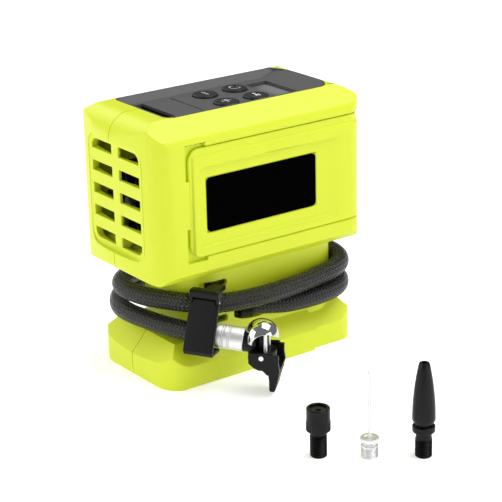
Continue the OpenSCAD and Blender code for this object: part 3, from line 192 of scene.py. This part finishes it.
floor_half = 4
floor_white = (0.93, 0.93, 0.93)
floor_glow, floor_glow_seen = 0.20, 0.22
floor_mesh = bpy.data.meshes.new("floor")
bm = bmesh.new()
bmesh.ops.create_grid(bm, x_segments=1, y_segments=1, size=floor_half)
bm.to_mesh(floor_mesh)
bm.free()
floor = bpy.data.objects.new("floor", floor_mesh)
bpy.context.scene.collection.objects.link(floor)
floor_paint = Finish("floor_paint", floor_white,
                     {"Roughness": 0.9, "Specular IOR Level": 0.0, "Emission Strength": 1})
seen = floor_paint.node("ShaderNodeLightPath", {}, {}, "Is Camera Ray")
glow = seen * floor_glow_seen + floor_glow
floor_paint.feed("Emission Color",
                 floor_paint.node("ShaderNodeCombineColor", {}, {0: glow, 1: glow, 2: glow}))
floor_mesh.materials.append(floor_paint.material)

sky_on_piece, sky_seen, sky_in_gloss = 0.40, 1.0, 0.20
world = bpy.data.worlds.new("world")
bpy.context.scene.world = world
world.use_nodes = True
sky = world.node_tree
sky_paths = sky.nodes.new("ShaderNodeLightPath")
straight = sky.nodes.new("ShaderNodeMapRange")
straight.inputs["To Min"].default_value = sky_on_piece
straight.inputs["To Max"].default_value = sky_seen
mirrored = sky.nodes.new("ShaderNodeMapRange")
mirrored.inputs["To Max"].default_value = sky_in_gloss
sky.links.new(sky_paths.outputs["Is Camera Ray"], straight.inputs["Value"])
sky.links.new(sky_paths.outputs["Is Glossy Ray"], mirrored.inputs["Value"])
sky.links.new(straight.outputs[0], mirrored.inputs["To Min"])
sky.links.new(mirrored.outputs[0], sky.nodes["Background"].inputs["Strength"])
sky.nodes["Background"].inputs["Color"].default_value = (1, 1, 1, 1)


# -------------------------------------------------------- housing shells
# Two satin lime mouldings meet along the middle, from the foot up to the roof. Long
# steel screws hold them together from the back.

same_place = 0.001 * mm
gentle_turn, sharp_turn = 28, 60


def moulding(name, colour, roughness, grain, depth, fixed=None):
    """Injection-moulded plastic with a fine sanded grain and slightly uneven colour."""
    made = Finish(name, colour, fixed or {})
    made.shade(made.noise(18, 3.0), 0.97, 1.03)
    made.feed("Roughness", made.noise(160, 3.0) * 0.10 + (roughness - 0.05))
    made.relief(made.noise(grain, 2.0), depth)
    return made.material


def worked_metal(name, colour, roughness, scale, stretch):
    """Metal with fine tool marks along one direction."""
    made = Finish(name, colour, {"Metallic": 1.0})
    stretched = made.node("ShaderNodeMapping", {}, {"Vector": made.place(), "Scale": stretch})
    marks = made.noise(scale, 3.0, stretched)
    made.shade(marks, 0.92, 1.04)
    made.feed("Roughness", marks * 0.12 + (roughness - 0.06))
    made.relief(marks, 0.006 * mm)
    return made.material


def new_piece(bm, name, body, material):
    """A finished mesh as a piece of the object, on its body and with its finish."""
    mesh = bpy.data.meshes.new(name)
    bm.to_mesh(mesh)
    bm.free()
    mesh.materials.append(material)
    piece = bpy.data.objects.new(name, mesh)
    bpy.context.scene.collection.objects.link(piece)
    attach(piece, body)
    return piece


def dress(material, *nodes):
    """Gives CAD nodes their finish."""
    for node in nodes:
        mesh = frame["nodes"][node].data
        mesh.materials.clear()
        mesh.materials.append(material)


def clean_copy(node, merge_flat=True):
    """A CAD node's mesh, ready to be shaped, its flat faces whole or left in triangles."""
    bm = bmesh.new()
    bm.from_mesh(frame["nodes"][node].data)
    bmesh.ops.remove_doubles(bm, verts=bm.verts, dist=same_place)
    if merge_flat:
        bmesh.ops.dissolve_limit(bm, angle_limit=math.radians(1), verts=bm.verts, edges=bm.edges,
                                 delimit=set())
    return bm


def in_box(edge, box):
    """Whether both ends lie between the box's two corners, given in millimetres."""
    low, high = box
    return all(low[k] * mm <= v.co[k] <= high[k] * mm for v in edge.verts for k in range(3))


def soften(bm, radius, least_turn, segments, box=None, seam=0.0):
    """Rounds each edge that turns enough and is off the seam; in a box, the outward ones only."""
    chosen = [
        edge for edge in bm.edges
        if len(edge.link_faces) == 2 and edge.calc_face_angle(0) > math.radians(least_turn)
        and max(abs(v.co.y) for v in edge.verts) > seam
        and (box is None or edge.is_convex and in_box(edge, box))]
    bmesh.ops.bevel(bm, geom=chosen, offset=radius, offset_type="OFFSET", segments=segments,
                    profile=0.5, affect="EDGES", clamp_overlap=False, material=-1)


def stand_in(bm, node, material):
    """The shaped copy takes the CAD node's place."""
    for face in bm.faces:
        face.smooth = True
    for edge in bm.edges:
        edge.smooth = len(edge.link_faces) == 2 and edge.calc_face_angle(0) < math.radians(48)
    piece = new_piece(bm, node + "_moulded", frame["nodes"][node]["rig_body"], material)
    piece.modifiers.new("even_shading", "WEIGHTED_NORMAL").keep_sharp = True
    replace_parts(piece, node)
    return piece


def softened(node, radius, material):
    """A copy of a CAD node whose corners are all rounded a little."""
    bm = clean_copy(node)
    soften(bm, radius, gentle_turn, 2)
    return stand_in(bm, node, material)


lime_plastic = moulding("lime_moulding", (0.730, 0.830, 0.022), 0.40, 3200, 0.010 * mm)
steel = worked_metal("drawn_steel", (0.58, 0.58, 0.59), 0.34, 900, (1, 1, 0.1))
roof_edge_r, rim_edge_r, front_edge_r, rear_edge_r = 2.2 * mm, 1.5 * mm, 0.4 * mm, 0.3 * mm
roof_edge_box = (-70, -36, 124.5), (70, -33.5, 126)
rim_heights = (121, 67)
seam_land = 1 * mm

bm = clean_copy("front_shell")
soften(bm, roof_edge_r, gentle_turn, 4, roof_edge_box)
for rim in rim_heights:
    soften(bm, rim_edge_r, sharp_turn, 4, ((-36.5, -36, rim - 0.5), (70, 0, rim + 0.5)))
soften(bm, front_edge_r, gentle_turn, 2, seam=seam_land)
stand_in(bm, "front_shell", lime_plastic)
bm = clean_copy("rear_shell", merge_flat=False)
soften(bm, rear_edge_r, gentle_turn, 2, seam=seam_land)
stand_in(bm, "rear_shell", lime_plastic)
dress(steel, "shell_screws")


# -------------------------------------------------------- motor and fan
# A can motor lies along the housing's middle. Its shaft carries the pinion at one end
# and a cooling fan behind the vents at the other.

black_plastic = moulding("black_moulding", (0.005, 0.005, 0.0055), 0.32, 3200, 0.010 * mm,
                         {"Specular IOR Level": 0.22})
brass = worked_metal("machined_brass", (0.66, 0.46, 0.16), 0.30, 1100, (1, 1, 5))
dress(steel, "motor_can", "motor_shaft")
dress(brass, "pinion")
dress(black_plastic, "cooling_fan")


# -------------------------------------------------------- gear, crank and compressor
# A nylon gear turns the crank, whose rod drives the piston in a die-cast cylinder. The
# head is screwed on over a gasket.

nylon = moulding("natural_nylon", (0.72, 0.70, 0.64), 0.50, 1800, 0.02 * mm)
rubber = moulding("black_rubber", (0.018, 0.018, 0.018), 0.75, 2600, 0.04 * mm)
cast_aluminium = worked_metal("cast_aluminium", (0.60, 0.61, 0.62), 0.48, 2200, (1, 1, 1))
dress(cast_aluminium, "compressor_frame", "piston", "cylinder_head")
dress(steel, "gear_axle", "crank_pin", "wrist_pin", "head_screws")
dress(nylon, "drive_gear")
dress(black_plastic, "connecting_rod")
dress(rubber, "piston_ring", "head_gasket")


# -------------------------------------------------------- wiring and battery contacts
# Leads run from the contacts in the foot up to the circuit board. An air tube joins the
# cylinder head to the hose gland.

circuit_lacquer = moulding("circuit_lacquer", (0.02, 0.14, 0.05), 0.35, 900, 0.01 * mm)
dress(circuit_lacquer, "circuit_board")
dress(black_plastic, "terminal_block", "tact_switches")
dress(brass, "contact_blades")
dress(rubber, "air_tube", "power_leads")


# -------------------------------------------------------- wrap-round cover and label plate
# A cover of the shells' plastic wraps the display end and both sides. It holds a bare
# glossy black plate in a shallow field.

cover_low, cover_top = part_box("wrap_cover")
cover_face_y = 34.9 * mm
field_ends = (-41 * mm, 46 * mm)
field_top = (108 * mm, 117 * mm)
field_top_drop = 5 * mm
field_box = (-42, -36, 71), (46, 36, 112)
field_rim_r, cover_edge_r = 0.8 * mm, 0.45 * mm
top_border, end_border, border_slope, border_drop = 3.6 * mm, 1.6 * mm, 0.9 * mm, 0.8 * mm

bm = clean_copy("wrap_cover")
for vert in bm.verts:
    if field_ends[0] < vert.co.x < field_ends[1] and field_top[0] < vert.co.z < field_top[1]:
        vert.co.z -= field_top_drop
cuts = [((0, 0, cover_top.z - top_border - slope), (0, 0, 1)) for slope in (0, border_slope)]
cuts += [((cover_low.x + end_border + slope, 0, 0), (1, 0, 0)) for slope in (0, border_slope)]
for place, facing in cuts:
    bmesh.ops.bisect_plane(bm, geom=bm.verts[:] + bm.edges[:] + bm.faces[:], dist=same_place,
                           plane_co=place, plane_no=facing)
skin = set()
spreading = [face for face in bm.faces
             if abs(face.normal.y) > 0.99 and abs(face.calc_center_median().y) > cover_face_y]
while spreading:
    skin.update(spreading)
    spreading = [face for old in spreading for edge in old.edges for face in edge.link_faces
                 if face not in skin and edge.calc_face_angle(math.pi) < math.radians(gentle_turn)]
inward = {}
border_slack = 0.1 * mm
for vert in {v for face in skin for v in face.verts}:
    on_top = vert.co.z > cover_top.z - top_border - border_slack
    on_end = vert.co.x < cover_low.x + end_border + border_slack
    if on_top or on_end:
        facing = sum((face.normal for face in vert.link_faces if face in skin), Vector())
        inward[vert] = -facing.normalized() * border_drop
for vert, way in inward.items():
    vert.co += way
soften(bm, field_rim_r, sharp_turn, 4, field_box)
soften(bm, cover_edge_r, gentle_turn, 2)
stand_in(bm, "wrap_cover", lime_plastic)
label_lacquer = moulding("label_lacquer", (0.001, 0.001, 0.001), 0.22, 700, 0.002 * mm,
                         {"Specular IOR Level": 0.0})
softened("label_plate", 0.2 * mm, label_lacquer)


# -------------------------------------------------------- control panel, storage lid and bin
# A grey moulding is let into the roof, its middle lower than its margins. The lid over
# the bin turns on a steel pin.

panel_plastic = moulding("panel_moulding", (0.100, 0.099, 0.101), 0.44, 2400, 0.03 * mm,
                         {"Specular IOR Level": 0.35})
softened("control_panel", 0.25 * mm, panel_plastic)
softened("storage_lid", 0.2 * mm, panel_plastic)
dress(steel, "lid_pin")
dress(black_plastic, "storage_bin")


# -------------------------------------------------------- display
# A moulded smoked pane is let into the panel over the display module. Its colour
# carries a painted reflection, darkest towards the keys.

pane = Finish("display_glass", (0.30, 0.31, 0.315), {"Coat Weight": 0.5, "Coat Roughness": 0.12})
pane_low, pane_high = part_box("display_pane")
across_pane = pane.node("ShaderNodeSeparateXYZ", {}, {0: pane.place()}, 0)
# Painted reflection: the pane's colour runs from dark near the keys to pale at the far end.
pane_reflection_fall = (across_pane - pane_low.x) * (1 / (pane_high.x - pane_low.x))
pane.shade((pane_reflection_fall + pane.noise(60) * 0.12).clamped(), 0.12, 1.0)
pane.feed("Roughness", pane.noise(300) * 0.08 + 0.14)
dress(pane.material, "display_pane")
dress(black_plastic, "display_module")


# -------------------------------------------------------- keys
# Four round rubber-touch keys stand a millimetre above the panel. Pale printed marks
# say less, more, on and units.

key_plastic = moulding("key_moulding", (0.016, 0.016, 0.017), 0.42, 3000, 0.012 * mm)
mark_t, mark_corner = 0.10 * mm, 0.22
mark_paint = moulding("mark_paint", (0.85, 0.85, 0.84), 0.5, 1500, 0.004 * mm)


def plate(bm, x, y, length, width, turn=0.0):
    """A thin rectangular mark, its corners rounded a little."""
    size = Matrix.Diagonal((length, width, mark_t, 1))
    place = Matrix.Translation((x, y, mark_t / 2)) @ Matrix.Rotation(turn, 4, "Z") @ size
    made = bmesh.ops.create_cube(bm, size=1, matrix=place)["verts"]
    upright = {edge for vert in made for edge in vert.link_edges
               if abs(edge.verts[0].co.z - edge.verts[1].co.z) > mark_t / 2}
    bmesh.ops.bevel(bm, geom=list(upright), offset=min(length, width) * mark_corner,
                    offset_type="OFFSET", segments=3, profile=0.5, affect="EDGES",
                    clamp_overlap=True, material=-1)


def minus_mark(bm):
    plate(bm, 0, 0, 1.1 * mm, 5.4 * mm)


def plus_mark(bm):
    arm, width = 5.2 * mm, 1.1 * mm
    plate(bm, 0, 0, width, arm)
    for side in (-1, 1):
        plate(bm, side * (arm + width) / 4, 0, (arm - width) / 2, width)


def power_mark(bm):
    ring_r, stroke, opening = 2.5 * mm, 0.75 * mm, math.radians(64)
    start = Matrix.Rotation(opening / 2, 4, "Z")
    corners = [(ring_r - stroke / 2, 0), (ring_r + stroke / 2, 0), (ring_r + stroke / 2, mark_t),
               (ring_r - stroke / 2, mark_t)]
    face = bm.faces.new([bm.verts.new(start @ Vector((r, 0, z))) for r, z in corners])
    bmesh.ops.spin(bm, geom=[face, *face.edges, *face.verts], cent=(0, 0, 0), axis=(0, 0, 1),
                   angle=2 * math.pi - opening, steps=28, use_merge=False)
    plate(bm, 0.75 * ring_r, 0, 2.3 * mm, stroke)


def mode_mark(bm):
    plate(bm, 0.2 * mm, 1.9 * mm, 1.7 * mm, 1.7 * mm, math.radians(45))
    plate(bm, 0, -1.4 * mm, 2.4 * mm, 2.8 * mm)


key_marks = {"minus": minus_mark, "plus": plus_mark, "power": power_mark, "mode": mode_mark}
for key, draw in key_marks.items():
    button = key + "_button"
    softened(button, 0.45 * mm, key_plastic)
    low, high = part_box(button)
    centre = (low + high) / 2
    bm = bmesh.new()
    draw(bm)
    bmesh.ops.recalc_face_normals(bm, faces=bm.faces)
    bmesh.ops.translate(bm, verts=bm.verts, vec=(centre.x, centre.y, high.z - mark_t / 4))
    new_piece(bm, key + "_mark", frame["nodes"][button]["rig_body"], mark_paint)


# -------------------------------------------------------- hose gland and clip
# The hose leaves the neck through a black gland. A black clip hooks into the neck, and
# its leaf folds down over both turns of the hose.

softened("hose_gland", 0.4 * mm, black_plastic)
softened("clip_base", 0.25 * mm, black_plastic)
softened("clip_leaf", 0.45 * mm, black_plastic)
dress(steel, "clip_pin")


# -------------------------------------------------------- air hose
# A rubber hose in a braided black sleeve. It leaves the gland in the neck, winds twice
# round the neck and ends in the ferrule of the tyre chuck.

hose_r = 4.75 * mm
hose_sides = 24
hose_steps = 6
hose_points = [
    [-4.5, -25, 31.3], [4.1, -29, 30.8], [14, -31.8, 30], [27, -32.6, 29.8], [39.8, -31.5, 29.9],
    [48.4, -27.8, 30.1], [54.7, -20.8, 30.3], [57.5, -11.9, 30.6], [57.8, -1, 30.8],
    [57.4, 11, 31.2], [54.7, 20.8, 31.4], [48.4, 27.8, 31.7], [39.8, 31.3, 32.2], [28, 31.4, 33.1],
    [15, 31.3, 34.4], [1, 31.3, 35.8], [-13, 31.3, 37.4], [-25, 31.2, 39.1], [-36, 29.6, 40.7],
    [-45.5, 25, 41.8], [-53, 17.5, 42.3], [-56, 8, 42.3], [-54, -2, 41.8], [-50.4, -9.4, 41.4],
    [-45.8, -16.8, 41.2], [-40.8, -24.2, 41.1], [-34, -29.4, 40.5], [-25, -32.4, 39.8],
    [-14, -34.3, 39.5], [-3, -35.2, 39.5], [9, -35, 39.6], [22, -33.9, 39.9], [33, -32.4, 40.5],
    [41.8, -31.1, 41], [49.4, -27.2, 41.4], [55, -20.4, 41.7], [57.6, -11.9, 41.9], [57.8, -1, 42],
    [57.8, 10, 42], [56.6, 20, 41.9], [51, 31.4, 41.3], [41.2, 38.4, 40.1], [28, 41.5, 38.6],
    [14, 41.9, 36.9], [0, 41.9, 35.2], [-14, 41.5, 33.5], [-28, 39.7, 31.9], [-40, 35, 30.9],
    [-49, 27, 30.3], [-54.3, 16.5, 29.9], [-55, 6, 29.8], [-53.5, -4, 29.7], [-51.3, -14, 29.5],
    [-47.4, -23.9, 29.1], [-42.5, -32.5, 28.5], [-36, -40, 28]]
gland_turn, ferrule_turn, ferrule_slope = map(math.radians, (-25, -47, -6.5))
hose_start = Vector((math.cos(gland_turn), math.sin(gland_turn), 0))
hose_finish = Vector((
    math.cos(ferrule_turn) * math.cos(ferrule_slope),
    math.sin(ferrule_turn) * math.cos(ferrule_slope),
    math.sin(ferrule_slope)))


def smooth_route(points, steps):
    """A Catmull-Rom curve through the points, its ends run on straight."""
    knots = [Vector(p) * mm for p in points]
    knots = [knots[0] - hose_start * (knots[1] - knots[0]).length, *knots,
             knots[-1] + hose_finish * (knots[-1] - knots[-2]).length]
    route = []
    for i in range(1, len(knots) - 2):
        a, b, c, d = knots[i - 1:i + 3]
        for k in range(steps):
            t = k / steps
            route.append(0.5 * (2 * b + (c - a) * t + (2 * a - 5 * b + 4 * c - d) * t * t
                                + (3 * b - a - 3 * c + d) * t * t * t))
    return route + [knots[-2]]


hose_route = smooth_route(hose_points, hose_steps)
hose_length = sum((b - a).length for a, b in zip(hose_route, hose_route[1:]))

bm = bmesh.new()
wrap = bm.loops.layers.uv.new("sleeve")
ring = bmesh.ops.create_circle(bm, segments=hose_sides, radius=hose_r)["verts"]
heading = hose_start
across = Vector((0, 0, 1)).cross(heading).normalized()
along = 0.0
for i, point in enumerate(hose_route):
    if i in (0, len(hose_route) - 1):
        heading = hose_start if i == 0 else hose_finish
    else:
        heading = (hose_route[i + 1] - hose_route[i - 1]).normalized()
    across = (across - heading * across.dot(heading)).normalized()
    upward = heading.cross(across)
    if i:
        sides = [bm.edges.get((ring[k], ring[(k + 1) % hose_sides])) for k in range(hose_sides)]
        grown = bmesh.ops.extrude_edge_only(bm, edges=sides)["geom"]
        old_ring = ring
        ring = [next(e.other_vert(v) for e in v.link_edges if e.other_vert(v) in grown)
                for v in old_ring]
        step = (point - hose_route[i - 1]).length
        order = {v: k for k, v in enumerate(old_ring + ring)}
        for face in [f for f in grown if isinstance(f, bmesh.types.BMFace)]:
            spots = [order[loop.vert] % hose_sides for loop in face.loops]
            crosses_seam = 0 in spots and hose_sides - 1 in spots
            for loop, spot in zip(face.loops, spots):
                turn = hose_sides if crosses_seam and spot == 0 else spot
                far = order[loop.vert] >= hose_sides
                loop[wrap].uv = (turn / hose_sides, (along + step * far) / (2 * math.pi * hose_r))
        along += step
    for k, vert in enumerate(ring):
        angle = 2 * math.pi * k / hose_sides
        vert.co = point + hose_r * (across * math.cos(angle) + upward * math.sin(angle))
bmesh.ops.holes_fill(bm, edges=bm.edges, sides=hose_sides)
bmesh.ops.recalc_face_normals(bm, faces=bm.faces)
for face in bm.faces:
    face.smooth = len(face.verts) == 4

sleeve_strands = 16
strand_rise = 0.40 * mm
strand_gap_painted_shade, strand_crown_painted_sheen = 0.10, 4.5
sleeve = Finish("hose_sleeve", (0.0035, 0.0033, 0.0033), {"Specular IOR Level": 0.62})
uv = sleeve.node("ShaderNodeUVMap", {"uv_map": "sleeve"}, {})
around = sleeve.node("ShaderNodeSeparateXYZ", {}, {0: uv}, 0)
down = sleeve.node("ShaderNodeSeparateXYZ", {}, {0: uv}, 1)
rising = (around + down) * sleeve_strands
falling = (around - down) * sleeve_strands
over = (rising.floor() + falling.floor()) % 2
rising_strand = (rising * math.pi).sine() * (rising * math.pi).sine()
falling_strand = (falling * math.pi).sine() * (falling * math.pi).sine()
strand = rising_strand * (1 - over) + falling_strand * over
# The braid pattern is the sleeve's own, but its colour also holds painted light: a painted sheen on
# the strand crowns and painted shade in the gaps between strands.
sleeve.shade(strand * (0.6 + sleeve.noise(900) * 0.8), strand_gap_painted_shade, strand_crown_painted_sheen)
sleeve.feed("Roughness", 0.36 - strand * 0.14)
sleeve.relief(strand + sleeve.noise(5000) * 0.25, strand_rise)

hose = new_piece(bm, "braided_hose", "housing", sleeve.material)
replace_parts(hose, "air_hose")


# -------------------------------------------------------- hose ferrule and lever chuck
# A ferrule is crimped on the hose's end. The plated cap sits on a black valve body, and
# the black lever's cheeks turn on two steel pins.

bright_steel = worked_metal("turned_steel", (1.0, 1.0, 1.0), 0.50, 1400, (1, 1, 6))
chrome = worked_metal("polished_chrome", (0.72, 0.73, 0.74), 0.10, 260, (1, 1, 1))
ferrule = softened("hose_ferrule", 0.5 * mm, bright_steel)
chuck_body = softened("chuck_body", 0.2 * mm, black_plastic)
chuck_cap = softened("chuck_cap", 0.12 * mm, chrome)
chuck_lever = softened("chuck_lever", 0.3 * mm, black_plastic)
dress(bright_steel, "chuck_posts", "chuck_plunger", "lever_pins")
dress(rubber, "chuck_seal")


# -------------------------------------------------------- valve adaptors
# Three loose adaptors stand in front: a presta adaptor, a ball needle and a tapered
# nozzle. Each is turned or moulded round one axis, with a tyre valve thread below.

thread_r, thread_pitch, thread_depth, first_crest = 3.87 * mm, 0.794 * mm, 0.45 * mm, 0.6 * mm
turned_steps = 72


def thread_outline(length):
    """Radius and height up the outside of a threaded spigot."""
    turns = math.floor((length / mm - 1) / (thread_pitch / mm))
    outline = [(thread_r - thread_depth, 0), (thread_r - 0.1 * mm, 0.35 * mm)]
    for i in range(turns):
        crest = first_crest + i * thread_pitch
        outline += [(thread_r, crest), (thread_r - thread_depth, crest + thread_pitch / 2)]
    return outline + [(thread_r, first_crest + turns * thread_pitch), (thread_r, length)]


def turned(name, node, outline, material, ribs=(0, 0), rib_depth=0.0):
    """A closed body of revolution round the node's own axis, ribbed between two heights."""
    low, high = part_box(node)
    centre = (low + high) / 2
    bm = bmesh.new()
    verts = [bm.verts.new((r, 0, z)) for r, z in outline]
    edges = [bm.edges.new((verts[i - 1], verts[i])) for i in range(len(verts))]
    bmesh.ops.spin(bm, geom=verts + edges, cent=(0, 0, 0), axis=(0, 0, 1), angle=2 * math.pi,
                   steps=turned_steps, use_merge=True)
    bmesh.ops.remove_doubles(bm, verts=bm.verts, dist=same_place)
    for vert in bm.verts:
        spoke = round(math.atan2(vert.co.y, vert.co.x) / (2 * math.pi) * turned_steps)
        if ribs[0] <= vert.co.z <= ribs[1] and spoke % 2 and vert.co.xy.length > thread_r / 2:
            vert.co.xy *= 1 - rib_depth / vert.co.xy.length
    bmesh.ops.recalc_face_normals(bm, faces=bm.faces)
    for face in bm.faces:
        face.smooth = True
    for edge in bm.edges:
        edge.smooth = edge.calc_face_angle(0) < math.radians(25)
    bmesh.ops.translate(bm, verts=bm.verts, vec=(centre.x, centre.y, 0))
    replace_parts(new_piece(bm, name, frame["nodes"][node]["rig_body"], material), node)


adaptor_bore = 1.3 * mm
presta_h, presta_r, presta_thread, recess_z = 23.7 * mm, 5.35 * mm, 11.8 * mm, 17.7 * mm
grip_low, grip_high = presta_thread + 1.0 * mm, presta_thread + 5.2 * mm
grip_r = presta_r + 0.2 * mm
presta_outline = thread_outline(presta_thread) + [
    (grip_r, grip_low), (grip_r, grip_high), (presta_r, grip_high + 0.3 * mm),
    (presta_r, presta_h - 0.4 * mm), (presta_r - 0.4 * mm, presta_h),
    (thread_r + 0.3 * mm, presta_h), (thread_r, presta_h - 0.3 * mm), (thread_r, recess_z),
    (adaptor_bore, recess_z), (adaptor_bore, 0)]
turned("presta_adaptor", "presta_body", presta_outline, black_plastic,
       (grip_low - 0.1 * mm, grip_high + 0.1 * mm), 0.22 * mm)
dress(rubber, "presta_seal")

needle_thread, needle_bore, neck_r, collar_r = 5.8 * mm, 0.76 * mm, 2.9 * mm, 4.3 * mm
collar_low, collar_high = needle_thread + 2.2 * mm, needle_thread + 3.7 * mm
needle_top = needle_thread + 4 * mm
needle_outline = thread_outline(needle_thread) + [
    (neck_r, needle_thread + 0.05 * mm), (neck_r, needle_thread + 0.6 * mm), (collar_r, collar_low),
    (collar_r, collar_high), (collar_r - 0.3 * mm, needle_top), (2.6 * mm, needle_top),
    (2.2 * mm, needle_top - 0.4 * mm), (needle_bore, needle_top - 0.4 * mm), (needle_bore, 0)]
turned("needle_foot", "needle_base", needle_outline, bright_steel,
       (needle_thread + 0.5 * mm, collar_high + 0.1 * mm), 0.18 * mm)
dress(bright_steel, "needle_stem")

nozzle_h, nozzle_r, nozzle_thread, tip_r = 45 * mm, 5.25 * mm, 9.6 * mm, 2.5 * mm
shank_r, body_z = thread_r - 0.3 * mm, nozzle_thread + 7 * mm
ring_low, ring_high = nozzle_thread + 2.5 * mm, nozzle_thread + 5.5 * mm
ring_r = nozzle_r - 0.1 * mm
taper_low, taper_high, taper_steps = body_z + 1.4 * mm, nozzle_h - 0.6 * mm, 16
taper = [(nozzle_r - (nozzle_r - tip_r) * t * t, taper_low + (taper_high - taper_low) * t)
         for t in [i / taper_steps for i in range(taper_steps + 1)]]
nozzle_outline = thread_outline(nozzle_thread)[:-1] + [
    (shank_r, nozzle_thread), (shank_r, ring_low), (ring_r - 0.2 * mm, ring_low),
    (ring_r, ring_low + 0.3 * mm), (ring_r, ring_high - 0.3 * mm), (ring_r - 0.3 * mm, ring_high),
    (shank_r, ring_high), (shank_r, body_z), (nozzle_r - 0.6 * mm, body_z),
    *taper, (2.1 * mm, nozzle_h), (adaptor_bore, nozzle_h), (adaptor_bore, 0)]
turned("nozzle_adaptor", "tapered_nozzle", nozzle_outline, black_plastic)
